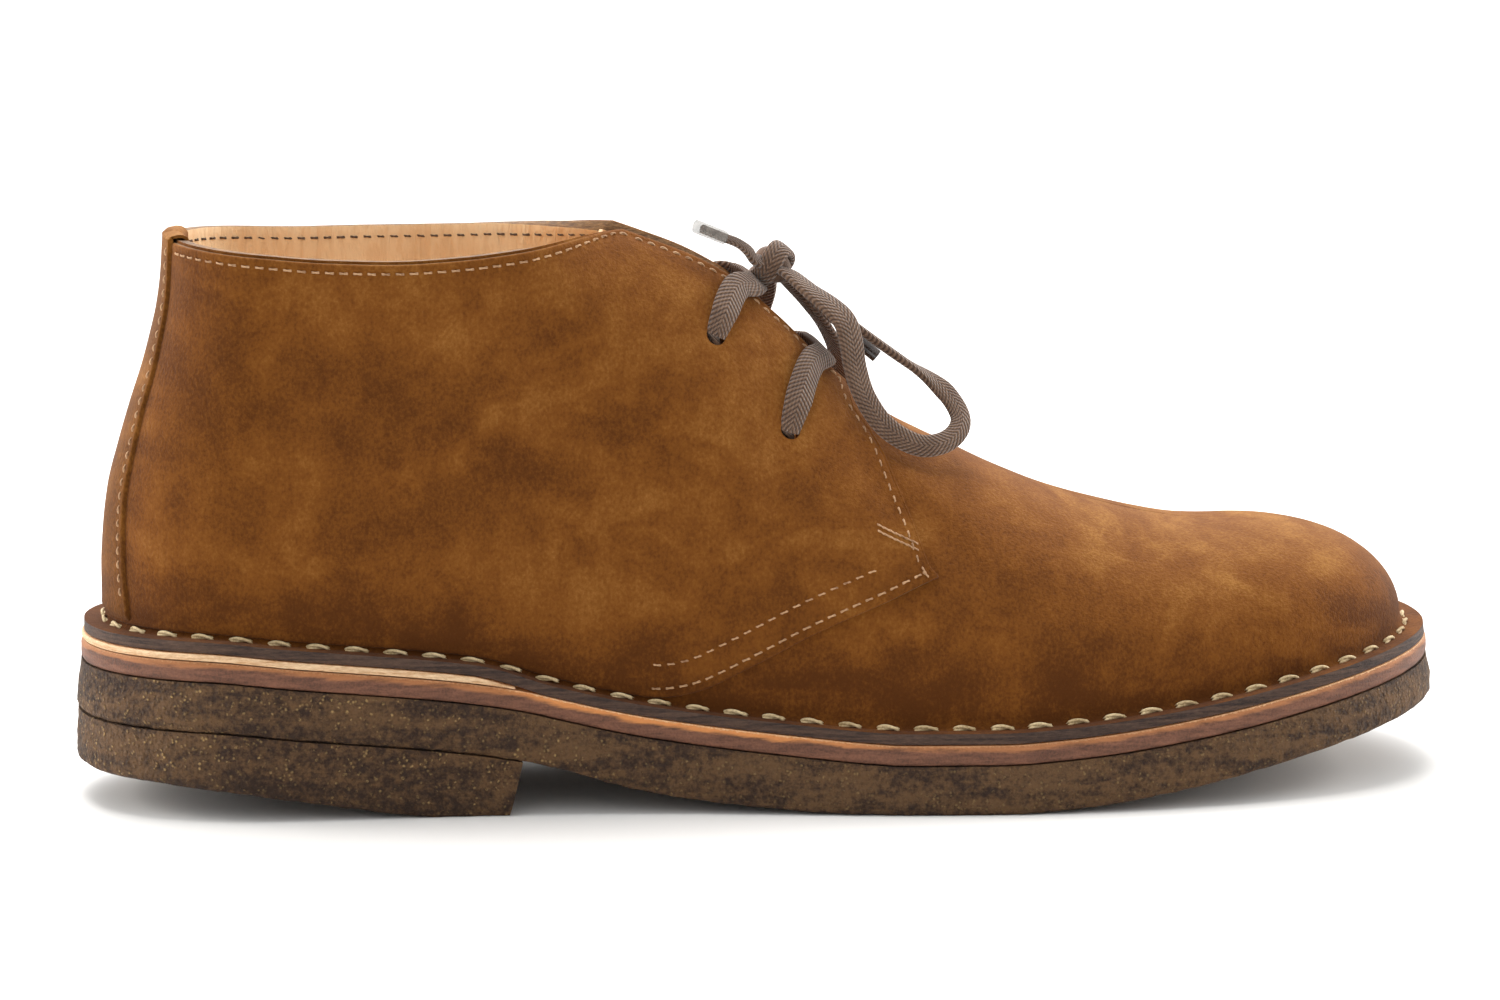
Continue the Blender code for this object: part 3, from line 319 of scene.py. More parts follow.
@dataclass(frozen=True)
class Last:
    """Form of the foot that sole and upper follow, in metres."""

    sole_length: float = 314 * MM
    half_ball: float = 55 * MM
    heel_cap: float = 44 * MM
    toe_cap: float = 60 * MM
    heel_rise: float = 20.2 * MM
    toe_spring: float = 15 * MM
    crepe: float = 10.8 * MM
    gap: float = 0.3 * MM
    midsole: float = 4.3 * MM
    rand: float = 1.4 * MM
    rand_length: float = 96 * MM
    rand_runout: float = 18 * MM
    wall: float = 2.4 * MM
    flange_inset: float = 2.4 * MM
    feather_inset: float = 7.7 * MM
    shaft_height: float = 86 * MM
    instep_height: float = 100 * MM
    heel_lean: float = 16 * MM
    wall_bulge: float = 1.2 * MM
    heel_arc: float = 62 * MM
    slot_half_width: float = 8.5 * MM
    slot_root: float = 178 * MM
    slot_round: float = 14 * MM
    toe_pole: float = 268 * MM

    @property
    def heel_x(self) -> float:
        """Back end of the sole."""
        return -self.sole_length / 2

    @property
    def toe_x(self) -> float:
        """Front end of the sole."""
        return self.sole_length / 2

    @property
    def centre(self) -> float:
        """Place where the rounded back starts."""
        return self.heel_x + self.heel_cap

    def along(self, x: Array | float) -> Array:
        """Share of the sole's length."""
        return (np.asarray(x, float) - self.heel_x) / self.sole_length

    def at_share(self, share: float) -> float:
        """Place along X of a share of the sole's length."""
        return self.heel_x + share * self.sole_length

    def half_width(self, x: Array | float, inset: Array | float) -> Array:
        """Half width of the outline moved in by an inset.

        Args:
            x: places along the sole.
            inset: how far inside the sole's edge.

        Returns:
            Half widths.
        """
        full = smooth(OUTLINE, 1, self.along(x)) * self.half_ball - inset
        back = cap((self.centre - x) / (self.heel_cap - inset), 2.15)
        front = cap((x - (self.toe_x - self.toe_cap)) / (self.toe_cap - inset), 2.25)
        return full * back * front

    def shift(self, x: Array | float) -> Array:
        """Middle of the outline, across."""
        return smooth(OUTLINE, 2, self.along(x)) * self.half_ball

    def sheet_line(self, x: Array | float) -> Array:
        """Line that the layers over the crepe follow."""
        u = self.along(x)
        return smooth(SHEET_LINE, 1, u) * self.heel_rise + smooth(SHEET_LINE, 2, u) * self.toe_spring

    def sheet_under(self, x: Array | float) -> Array:
        """Underside of the crepe sheet."""
        return self.sheet_line(x) - smooth(SHEET_LINE, 3, self.along(x)) * self.crepe

    def rand_share(self, x: Array | float) -> Array:
        """1 over the rand, falling to 0 in front of it."""
        t = np.clip((x - (self.heel_x + self.rand_length - self.rand_runout / 2)) / self.rand_runout, 0, 1)
        return 1 - t * t * (3 - 2 * t)

    def midsole_top(self, x: Array | float) -> Array:
        """Top of the midsole."""
        return self.sheet_line(x) + self.crepe + self.gap + self.midsole

    def flange_top(self, x: Array | float) -> Array:
        """Top of the turned-out foot of the upper."""
        return self.midsole_top(x) + self.gap + (self.rand + self.gap) * self.rand_share(x) + self.wall

    def stations(self, inset: float, ends: int = 26, middle: int = 120) -> Array:
        """Places along X of an outline's points, close together at its rounded ends.

        Args:
            inset: how far inside the sole's edge.
            ends: points round each end.
            middle: steps between them.

        Returns:
            The places, from back to front.
        """
        turn = np.linspace(0, math.pi / 2, ends)
        a, b = self.centre, self.toe_x - self.toe_cap
        return np.concatenate(
            [
                a - (a - self.heel_x - inset) * np.cos(turn),
                np.linspace(a, b, middle + 1)[1:-1],
                b + (self.toe_x - inset - b) * np.sin(turn),
            ]
        )

    def edge(self, side: Side, x: Array, inset: float, z: Array) -> Array:
        """Points of the outline at one side."""
        return np.stack([x, self.shift(x) + side.value * self.half_width(x, inset), z + 0 * x], -1)

    def ridge(self, x: Array | float) -> tuple[Array, Array, Array]:
        """Height of the ridge over the flange, and depth and exponent of its rounding."""
        u = self.along(x)
        return (
            smooth(RIDGE, 1, u) * self.instep_height,
            smooth(RIDGE, 2, u) * self.instep_height,
            smooth(RIDGE, 3, u),
        )

    def wall_full(self, x: Array | float, h: Array | float) -> Array:
        """Half width of the upper at a height, before its top rounds over.

        Args:
            x: places along the sole.
            h: heights over the flange.

        Returns:
            Half widths.
        """
        top = self.ridge(x)[0]
        rise = np.clip(h / (0.75 * self.instep_height), 0, 1)
        narrowing = 1 + (smooth(RIDGE, 4, self.along(x)) - 1) * rise * rise * (3 - 2 * rise)
        arch = np.clip(h / np.minimum(top, 0.7 * self.instep_height), 0, 1)
        bulge = self.wall_bulge * np.sin(math.pi * arch)
        return self.half_width(x, self.feather_inset) * narrowing + bulge

    def wall_half(self, x: Array | float, h: Array | float) -> Array:
        """Half width of the upper's outer face at a height over the flange."""
        top, depth, power = self.ridge(x)
        return self.wall_full(x, h) * cap(1 - (top - h) / depth, power)

    def middle_line(self, x: Array | float, h: Array | float) -> Array:
        """Middle of a section across, from its foot to its ridge."""
        share = np.clip(h / self.ridge(x)[0], 0, 1)
        return self.shift(x) * (1 - share) + smooth(RIDGE, 5, self.along(x)) * self.half_ball * share

    def slot_half(self, x: Array | float) -> Array:
        """Half the gap between the facings."""
        t = (self.heel_x + self.slot_root - x) / self.slot_round
        return self.slot_half_width * np.sqrt(np.clip(1 - np.clip(1 - t, 0, 1) ** 2, 0, 1))

    def height_at(self, x: Array | float, across: Array | float) -> Array:
        """Height over the flange where a section has a given half width on its rounded top.

        Args:
            x: places along the sole.
            across: half widths.

        Returns:
            Heights over the flange.
        """
        top, depth, power = self.ridge(x)
        h = top - 0.02 * depth
        for _ in range(12):
            h = top - depth * (1 - cap(across / self.wall_full(x, h), power))
        return h

    def split(self, u: Array | float) -> tuple[Array, Array, Array]:
        """Place, sine of the turn round the back and foot of a section.

        Args:
            u: run along the wall, in front of the rounded back's start.

        Returns:
            Place along X before the turn, sine of the turn, and the flange's height there.
        """
        u = np.asarray(u, float)
        x = self.centre + np.maximum(u, 0)
        sine = np.sin(np.clip(-u / self.heel_arc, 0, 1) * math.pi / 2)
        return x, sine, self.flange_top(x - (self.heel_cap - self.feather_inset) * sine)

    def top(self, side: Side, u: Array | float, step: float = 0.0) -> Array:
        """Height over the flange of a section's upper end, at collar, facing or ridge.

        Args:
            side: which side.
            u: run along the wall.
            step: how far below the collar or outside the facing.

        Returns:
            Heights over the flange.
        """
        x, sine, foot = self.split(u)
        top_x = x - (self.heel_cap - self.feather_inset - self.heel_lean) * sine
        column = 1 if side is Side.OUTER else 2
        line = smooth(COLLAR, column, self.along(top_x)) * self.shaft_height
        collar = self.flange_top(self.heel_x + self.feather_inset) + line - step - foot
        half = self.slot_half(x)
        return np.minimum(collar, self.height_at(x, half + step * (half > 0)))

    def bare(self, side: Side, u: Array | float, h: Array | float) -> Array:
        """Points of the upper's outer face without its creases.

        Args:
            side: which side.
            u: run along the wall.
            h: heights over the flange.

        Returns:
            The points.
        """
        u, h = np.broadcast_arrays(np.asarray(u, float), np.asarray(h, float))
        x, sine, foot = self.split(u)
        lean = smooth(BACK_LINE, 1, h / self.shaft_height) * self.heel_lean
        reach = self.heel_cap - self.feather_inset - lean
        half = self.wall_half(x, h)
        y = self.middle_line(x, h) + side.value * half * cap(sine, 2.15)
        return np.stack([x - reach * sine, y, foot + h], -1)

    def outward(self, side: Side, u: Array | float, h: Array | float) -> Array:
        """Directions out of the upper's outer face."""
        d = 0.4 * MM
        u, h = np.broadcast_arrays(np.asarray(u, float), np.asarray(h, float))
        h = np.minimum(h, self.ridge(self.split(u)[0])[0] - 2 * d)
        u = np.where(u < 0, np.maximum(u, -self.heel_arc + 2 * d), u)
        ahead = self.bare(side, u + d, h) - self.bare(side, u - d, h)
        above = self.bare(side, u, h + d) - self.bare(side, u, h - d)
        normal = unit(np.cross(ahead, above))
        return normal * (1 if side is Side.OUTER else -1)

    def relief(self, side: Side, p: Array) -> Array:
        """How far soft creases move the leather out, in metres.

        Args:
            side: which side.
            p: points of the face.

        Returns:
            One distance a point.
        """
        out = 0.16 * MM * wobble(p, 17 * MM, 0.4 * side.value) + 0.05 * MM * wobble(p, 6 * MM, 1.9)
        for x, z, angle, length, width, depth in OUTER_CREASES if side is Side.OUTER else INNER_CREASES:
            turn = math.radians(angle)
            dx, dz = p[..., 0] - x * MM, p[..., 2] - z * MM
            run = dx * math.cos(turn) + dz * math.sin(turn)
            off = -dx * math.sin(turn) + dz * math.cos(turn) + 0.08 * run**2 / (length * MM)
            fall = np.exp(-((run / (0.5 * length * MM)) ** 2))
            out = out - depth * MM * fall * np.exp(-((off / (width * MM)) ** 2))
            beside = (off - 1.8 * width * MM) / (1.2 * width * MM)
            out = out + 0.5 * depth * MM * fall * np.exp(-(beside**2))
        across = np.clip(np.abs(p[..., 1]) / (10 * MM), 0, 1)
        foot = np.clip((p[..., 2] - 36 * MM) / (8 * MM), 0, 1)
        return out * across * foot

    def skin(self, side: Side, u: Array | float, h: Array | float, lift: float = 0.0) -> Array:
        """Points over the upper's outer face, with its creases."""
        p = self.bare(side, u, h)
        return p + self.outward(side, u, h) * (lift + self.relief(side, p))[..., None]

    def heights(self, side: Side, u: float, low: float, high: float, count: int) -> Array:
        """Heights of evenly spaced points up a section.

        Args:
            side: which side.
            u: run along the wall.
            low: first height over the flange.
            high: last height over the flange.
            count: number of points.

        Returns:
            The heights.
        """
        dense = low + (high - low) * np.sin(np.linspace(0, 1, 121) * math.pi / 2)
        p = self.bare(side, u, dense)
        run = run_of(p)
        return np.interp(np.linspace(0, run[-1], count), run, dense)

    def below_top(self, side: Side, u: Array, distance: float) -> Array:
        """Heights at a distance down the face from the sections' upper ends."""
        found = []
        for place, high in zip(u, self.top(side, u)):
            dense = high - 14 * MM * (1 - np.sin(np.linspace(0, 1, 121) * math.pi / 2))
            back = run_of(self.bare(side, place, dense)[::-1])
            found.append(np.interp(distance, back, dense[::-1]))
        return np.array(found)

    def top_point(self, x: Array | float, across: Array | float) -> Array:
        """Points on the rounded top at signed distances across from the ridge.

        Args:
            x: places along the sole.
            across: distances, negative to the outer side.

        Returns:
            The points.
        """
        x, across = np.broadcast_arrays(np.asarray(x, float), np.asarray(across, float))
        h = self.height_at(x, np.abs(across))
        y = self.middle_line(x, h) + np.sign(across) * self.wall_half(x, h)
        return np.stack([x, y, self.flange_top(x) + h], -1)

    def top_normal(self, x: Array | float, across: Array | float) -> Array:
        """Directions out of the rounded top."""
        d = 0.5 * MM
        ahead = self.top_point(x + d, across) - self.top_point(x - d, across)
        beside = self.top_point(x, across + d) - self.top_point(x, across - d)
        normal = unit(np.cross(ahead, beside))
        return normal * np.sign(normal[..., 2:])


class Bench:
    """Modelling steps shared by all pieces."""

    @staticmethod
    def clear() -> None:
        """Leaves object mode with nothing selected."""
        if bpy.context.object and bpy.context.object.mode != "OBJECT":
            bpy.ops.object.mode_set(mode="OBJECT")
        bpy.ops.object.select_all(action="DESELECT")

    @classmethod
    def pick(cls, *objects: bpy.types.Object) -> None:
        """Selects these objects alone, the first active."""
        cls.clear()
        for obj in objects:
            obj.select_set(True)
        bpy.context.view_layer.objects.active = objects[0]

    @classmethod
    def sheet(cls, name: str, points: Array, uv: Array | None = None) -> bpy.types.Object:
        """A grid laid on rows of points.

        Args:
            name: the piece's name.
            points: rows by columns by three coordinates.
            uv: rows by columns by two, where a pattern follows the surface.

        Returns:
            The new object.
        """
        rows, columns = points.shape[:2]
        cls.clear()
        bpy.ops.mesh.primitive_grid_add(x_subdivisions=columns - 1, y_subdivisions=rows - 1, size=1)
        obj = bpy.context.object
        obj.name = obj.data.name = name
        obj.data.vertices.foreach_set("co", np.ascontiguousarray(points, np.float32).reshape(-1))
        if uv is not None:
            index = np.empty(len(obj.data.loops), np.int32)
            obj.data.loops.foreach_get("vertex_index", index)
            flat = np.ascontiguousarray(uv, np.float32).reshape(-1, 2)[index]
            obj.data.uv_layers[0].data.foreach_set("uv", flat.reshape(-1))
        obj.data.update()
        return obj

    @staticmethod
    def points_of(obj: bpy.types.Object) -> Array:
        """The points of a mesh."""
        flat = np.empty(len(obj.data.vertices) * 3, np.float32)
        obj.data.vertices.foreach_get("co", flat)
        return flat.reshape(-1, 3).astype(float)

    @classmethod
    def facing(cls, obj: bpy.types.Object, centre: Array, weight: Array) -> bpy.types.Object:
        """Turns an open sheet's faces away from a centre.

        Args:
            obj: the sheet.
            centre: point that the faces look away from.
            weight: how much each axis counts.

        Returns:
            The same object.
        """
        total = 0.0
        for polygon in obj.data.polygons:
            away = (np.array(polygon.center) - centre) * weight
            total += float(np.dot(away, polygon.normal)) * polygon.area
        if total < 0:
            cls.pick(obj)
            bpy.ops.object.mode_set(mode="EDIT")
            bpy.ops.mesh.select_all(action="SELECT")
            bpy.ops.mesh.flip_normals()
            bpy.ops.object.mode_set(mode="OBJECT")
        return obj

    @classmethod
    def weld(
        cls, obj: bpy.types.Object, distance: float = 2e-6, outside: bool = True, fill: bool = False
    ) -> None:
        """Merges doubles, fills ends and turns a closed mesh's faces outward.

        Args:
            obj: the mesh.
            distance: how near two points merge.
            outside: whether faces are turned outward.
            fill: whether holes are filled.
        """
        cls.pick(obj)
        bpy.ops.object.mode_set(mode="EDIT")
        bpy.ops.mesh.select_all(action="SELECT")
        bpy.ops.mesh.remove_doubles(threshold=distance)
        if fill:
            bpy.ops.mesh.select_all(action="DESELECT")
            bpy.ops.mesh.select_mode(type="EDGE")
            bpy.ops.mesh.select_non_manifold(extend=False)
            bpy.ops.mesh.fill_holes(sides=0)
            bpy.ops.mesh.select_mode(type="VERT")
        bpy.ops.mesh.select_all(action="SELECT")
        if outside:
            bpy.ops.mesh.normals_make_consistent(inside=False)
        bpy.ops.object.mode_set(mode="OBJECT")

    @classmethod
    def apply(cls, obj: bpy.types.Object, kind: str, **settings: object) -> None:
        """Adds a modifier with its settings and applies it.

        Args:
            obj: the mesh.
            kind: the modifier's type.
            settings: its properties.
        """
        cls.pick(obj)
        modifier = obj.modifiers.new(kind.lower(), kind)
        for key, value in settings.items():
            setattr(modifier, key, value)
        bpy.ops.object.modifier_apply(modifier=modifier.name)

    @classmethod
    def soften(cls, obj: bpy.types.Object, width: float, angle: float) -> None:
        """Rounds the edges that are sharper than an angle."""
        limit = math.radians(angle)
        cls.apply(obj, "BEVEL", width=width, segments=2, limit_method="ANGLE", angle_limit=limit)

    @classmethod
    def smooth(cls, obj: bpy.types.Object, angle: float = 40.0) -> None:
        """Shades a mesh smooth, with edges sharper than an angle kept."""
        cls.pick(obj)
        bpy.ops.object.shade_smooth_by_angle(angle=math.radians(angle))

    @classmethod
    def loop_solid(cls, name: str, sections: Array) -> bpy.types.Object:
        """A closed solid through closed sections that shrink to a line at both ends.

        Args:
            name: the piece's name.
            sections: sections by points by three coordinates, each section's first point repeated last.

        Returns:
            The new object.
        """
        obj = cls.sheet(name, sections)
        cls.weld(obj, fill=True)
        return obj

    @classmethod
    def sweep(
        cls, name: str, path: Array, face: Array, width: Array, thick: Array, closed: bool = False,
        squareness: float = 3.2,
    ) -> bpy.types.Object:
        """A band or cord along a path.

        Args:
            name: the piece's name.
            path: points of its centreline.
            face: direction of its flat face at each point.
            width: its width at each point.
            thick: its thickness at each point.
            closed: whether it runs back into its start.
            squareness: exponent of its section.

        Returns:
            The new object, with the run along it and the place round it in millimetres as UV.
        """
        count = len(path)
        tangent = np.gradient(path, axis=0)
        if closed:
            tangent = np.roll(path, -1, 0) - np.roll(path, 1, 0)
        tangent = unit(tangent)
        face = unit(face - tangent * (face * tangent).sum(1, keepdims=True))
        beside = np.cross(tangent, face)
        turn = np.linspace(0, 2 * math.pi, CORD_SIDES + 1)
        c, s = np.cos(turn), np.sin(turn)
        a = np.sign(c) * np.abs(c) ** (2 / squareness)
        b = np.sign(s) * np.abs(s) ** (2 / squareness)
        grid = (
            path[:, None]
            + beside[:, None] * (a[None, :, None] * width[:, None, None] / 2)
            + face[:, None] * (b[None, :, None] * thick[:, None, None] / 2)
        )
        run = run_of(path)
        uv = np.stack(np.broadcast_arrays(a[None, :] * 4.0, run[:, None] / MM), 2)
        if closed:
            grid = np.concatenate([grid, grid[:1]])
            uv = np.concatenate([uv, uv[:1] + [0, run[-1] / MM / count]])
        obj = cls.sheet(name, grid, uv)
        cls.weld(obj, distance=1e-6, fill=not closed)
        cls.smooth(obj, 60)
        return obj

    @classmethod
    def scatter(
        cls, name: str, template: bpy.types.Object, places: Array, ahead: Array, out: Array, scale: Array
    ) -> bpy.types.Object:
        """Copies of a template at many places, joined into one piece.

        Args:
            name: the piece's name.
            template: mesh that is copied, and then removed.
            places: where each copy lies.
            ahead: direction of each copy's X axis.
            out: direction of each copy's Z axis.
            scale: length of each copy.

        Returns:
            The joined object.
        """
        v = cls.points_of(template)
        faces = [tuple(p.vertices) for p in template.data.polygons]
        ahead = unit(ahead - out * (ahead * out).sum(1, keepdims=True))
        beside = np.cross(out, ahead)
        points = (
            places[:, None]
            + ahead[:, None] * (v[None, :, :1] * scale[:, None, None])
            + beside[:, None] * v[None, :, 1:2]
            + out[:, None] * v[None, :, 2:3]
        )
        mesh = bpy.data.meshes.new(name)
        step = len(v)
        joined = [tuple(i + k * step for i in face) for k in range(len(places)) for face in faces]
        mesh.from_pydata(points.reshape(-1, 3).tolist(), [], joined)
        obj = bpy.data.objects.new(name, mesh)
        bpy.context.scene.collection.objects.link(obj)
        bpy.data.objects.remove(template, do_unlink=True)
        cls.weld(obj, distance=1e-8)
        cls.smooth(obj, 80)
        return obj

    @classmethod
    def thread(cls, radius: float, steps: int = 9, sides: int = 6) -> bpy.types.Object:
        """One stitch of two twisted strands, one long along X.

        Args:
            radius: half its thickness.
            steps: points along it.
            sides: points round a strand.

        Returns:
            The template.
        """
        t = np.linspace(0, 1, steps)
        bow = 1 - (2 * t - 1) ** 2
        rise = 0.35 * radius * bow - 0.9 * radius * (1 - bow)
        grids = []
        for strand in (0, 1):
            phase = math.pi * (t + strand)
            middle = np.stack(
                [t - 0.5, 0.48 * radius * np.cos(phase), rise + 0.48 * radius * np.sin(phase)], 1
            )
            round_end = np.sqrt(np.clip(1 - (2 * t - 1) ** 6, 0, 1)) * 0.62 * radius
            turn = np.linspace(0, 2 * math.pi, sides + 1)
            ring = np.stack([0 * turn, np.cos(turn), np.sin(turn)], 1)
            grids.append(middle[:, None] + ring[None] * round_end[:, None, None])
        first, second = (cls.sheet(f"strand_{k}", grid) for k, grid in enumerate(grids))
        for strand in (first, second):
            cls.weld(strand, distance=1e-7)
        cls.pick(first, second)
        bpy.ops.object.join()
        return bpy.context.object


class Value:
    """A shader socket that plain arithmetic works on."""

    def __init__(self, shade: "Shade", socket: bpy.types.NodeSocket) -> None:
        """Keeps the socket and the material that it is in."""
        self.shade, self.socket = shade, socket

    def _math(self, operation: str, *inputs: object) -> "Value":
        """A Math node on these values."""
        return self.shade.node("ShaderNodeMath", {"operation": operation}, dict(enumerate(inputs)))

    def __add__(self, other: object) -> "Value":
        """Sum."""
        return self._math("ADD", self, other)

    __radd__ = __add__

    def __sub__(self, other: object) -> "Value":
        """Difference."""
        return self._math("SUBTRACT", self, other)

    def __rsub__(self, other: object) -> "Value":
        """Difference, reflected."""
        return self._math("SUBTRACT", other, self)

    def __mul__(self, other: object) -> "Value":
        """Product."""
        return self._math("MULTIPLY", self, other)

    __rmul__ = __mul__

    def clamped(self) -> "Value":
        """The value between 0 and 1."""
        return self.shade.node("ShaderNodeClamp", {}, {"Value": self})

    def ramp(self, low: float, high: float) -> "Value":
        """0 below low and 1 above high, smooth between."""
        inputs = {"Value": self, "From Min": low, "From Max": high}
        return self.shade.node("ShaderNodeMapRange", {"interpolation_type": "SMOOTHSTEP"}, inputs)

    def sine(self) -> "Value":
        """Its sine."""
        return self._math("SINE", self)

    def size(self) -> "Value":
        """Its absolute value."""
        return self._math("ABSOLUTE", self)


class Shade:
    """Node tree of one material."""

    def __init__(self, name: str) -> None:
        """Starts an empty material."""
        self.material = bpy.data.materials.new(name)
        self.material.use_nodes = True
        self.tree = self.material.node_tree
        self.tree.nodes.clear()
        self._place: Value | None = None

    def node(
        self, kind: str, settings: dict[str, object], inputs: dict[object, object], output: int | str = 0
    ) -> Value:
        """A node with its settings, its inputs set or linked, and one output.

        Args:
            kind: the node's type.
            settings: its properties.
            inputs: values or links by socket name or number.
            output: the output wanted.

        Returns:
            That output.
        """
        made = self.tree.nodes.new(kind)
        for key, value in settings.items():
            setattr(made, key, value)
        for key, value in inputs.items():
            socket = made.inputs[key]
            if isinstance(value, Value):
                self.tree.links.new(value.socket, socket)
            else:
                socket.default_value = value
        return Value(self, made.outputs[output])

    def place(self, scale: tuple[float, float, float] = (1, 1, 1)) -> Value:
        """Position on the shoe, in metres, stretched by a scale."""
        if self._place is None:
            self._place = self.node("ShaderNodeTexCoord", {}, {}, "Object")
        if scale == (1, 1, 1):
            return self._place
        return self.node("ShaderNodeMapping", {}, {"Vector": self._place, "Scale": scale})

    def noise(
        self, size: float, detail: float = 3.0, rough: float = 0.55,
        stretch: tuple[float, float, float] = (1, 1, 1), distortion: float = 0.0,
    ) -> Value:
        """Noise between 0 and 1 with humps of a size in metres.

        Args:
            size: size of its humps.
            detail: octaves.
            rough: strength of the fine ones.
            stretch: scale by axis.
            distortion: how far it is warped.

        Returns:
            The noise.
        """
        inputs = {
            "Vector": self.place(stretch), "Scale": 1 / size, "Detail": detail, "Roughness": rough,
            "Distortion": distortion,
        }
        return self.node("ShaderNodeTexNoise", {}, inputs, "Fac")

    def cells(self, size: float, output: str = "Distance") -> Value:
        """Cells of a size in metres, as distance from their middles or as a random colour."""
        return self.node("ShaderNodeTexVoronoi", {}, {"Vector": self.place(), "Scale": 1 / size}, output)

    def mix(self, factor: object, first: object, second: object) -> Value:
        """Colour between two colours.

        Args:
            factor: share of the second.
            first: colour or link.
            second: colour or link.

        Returns:
            The mixed colour.
        """
        made = self.tree.nodes.new("ShaderNodeMix")
        made.data_type = "RGBA"
        for key, value in ((0, factor), (6, first), (7, second)):
            if isinstance(value, Value):
                self.tree.links.new(value.socket, made.inputs[key])
            else:
                made.inputs[key].default_value = (*value, 1) if isinstance(value, tuple) else value
        return Value(self, made.outputs[2])

    def uv(self, index: int) -> Value:
        """One coordinate of the piece's UV."""
        return self.part(index, self.node("ShaderNodeTexCoord", {}, {}, "UV"))

    def part(self, index: int, vector: Value) -> Value:
        """One coordinate of a vector."""
        return self.node("ShaderNodeSeparateXYZ", {}, {"Vector": vector}, index)

    def bump(self, height: Value, depth: float) -> Value:
        """Normal of a height field of a depth in metres."""
        return self.node("ShaderNodeBump", {}, {"Height": height, "Distance": depth, "Strength": 1.0})

    def surface(
        self, color: Value, rough: object, normal: Value | None, **constants: float
    ) -> bpy.types.Material:
        """The finished surface.

        Args:
            color: base colour.
            rough: roughness.
            normal: bumped normal.
            constants: sockets that stay the same all over, by name with underscores.

        Returns:
            The material.
        """
        inputs: dict[object, object] = {"Base Color": color, "Roughness": rough}
        if normal is not None:
            inputs["Normal"] = normal
        for key, value in constants.items():
            inputs[key.replace("_", " ").title().replace("Ior", "IOR")] = value
        shader = self.node("ShaderNodeBsdfPrincipled", {}, inputs, "BSDF")
        out = self.tree.nodes.new("ShaderNodeOutputMaterial")
        self.tree.links.new(shader.socket, out.inputs["Surface"])
        return self.material


@dataclass(frozen=True)
class Suede:
    """Brushed suede with cloudy nap, with painted shade near the sole and painted highlights on top and
    toward the toe.
    """

    name: str = "suede"
    dark: Color = (0.080, 0.024, 0.0035)
    middle: Color = (0.178, 0.060, 0.0085)
    light: Color = (0.330, 0.150, 0.034)
    # strength of the painted highlight on suede that faces up
    painted_top_highlight: float = 0.30

    def material(self) -> bpy.types.Material:
        """Builds the material."""
        s = Shade(self.name)
        cloud = s.noise(26 * MM, 3.0, 0.6, (1.0, 0.6, 1.5), 0.6)
        patch = s.noise(9 * MM, 3.0, 0.6, (1.3, 1.0, 0.8), 0.4)
        nap = s.noise(0.75 * MM, 2.0, 0.7, (1.0, 1.0, 0.8))
        hair = s.noise(0.34 * MM, 1.0, 0.5)
        x, height = s.part(0, s.place()), s.uv(1)
        # painted highlight: suede whose normal faces up is made lighter, away from the sole
        painted_highlight_up = s.part(2, s.node("ShaderNodeNewGeometry", {}, {}, "Normal")).ramp(0.15, 0.95)
        shade = cloud.ramp(0.34, 0.7) * 0.36 + patch.ramp(0.35, 0.7) * 0.16 + (nap - 0.5) * 0.75 + 0.20
        shade = shade + painted_highlight_up * self.painted_top_highlight * 0.5 * height.ramp(0.06, 0.14)
        # painted shade darkens the suede near the flange; a painted highlight lightens it toward the toe
        shade = shade - (1 - height.ramp(0.02, 0.24)) * 0.26 + x.ramp(0.045, 0.12) * 0.10
        color = s.mix(shade.ramp(0.0, 0.62), self.dark, self.middle)
        color = s.mix(shade.ramp(0.45, 1.15), color, self.light)
        height = nap * 0.6 + hair * 0.3 + patch * 0.6
        normal = s.bump(height, 0.42 * MM)
        rough = 0.95 - (nap - 0.5) * 0.1
        return s.surface(
            color, rough, normal, specular_ior_level=0.12, sheen_weight=0.05, sheen_roughness=0.5
        )


@dataclass(frozen=True)
class CutEdge:
    """Raw cut edge of leather, fibrous along its run."""

    name: str
    dark: Color
    light: Color
    streak: float = 0.5

    def material(self) -> bpy.types.Material:
        """Builds the material."""
        s = Shade(self.name)
        fibre = s.noise(1.0 * MM, 4.0, 0.7, (0.6, 0.6, 2.4))
        layer = s.noise(2.2 * MM, 3.0, 0.6, (0.14, 0.14, 3.0))
        grit = s.noise(0.4 * MM, 2.0, 0.6)
        shade = fibre.ramp(0.35, 0.68) * (1 - self.streak) + layer.ramp(0.35, 0.65) * self.streak
        color = s.mix(shade, self.dark, self.light)
        normal = s.bump(fibre * 0.6 + grit * 0.4 + layer * 0.6, 0.5 * MM)
        return s.surface(color, 0.72 + (grit - 0.5) * 0.3, normal, specular_ior_level=0.35)


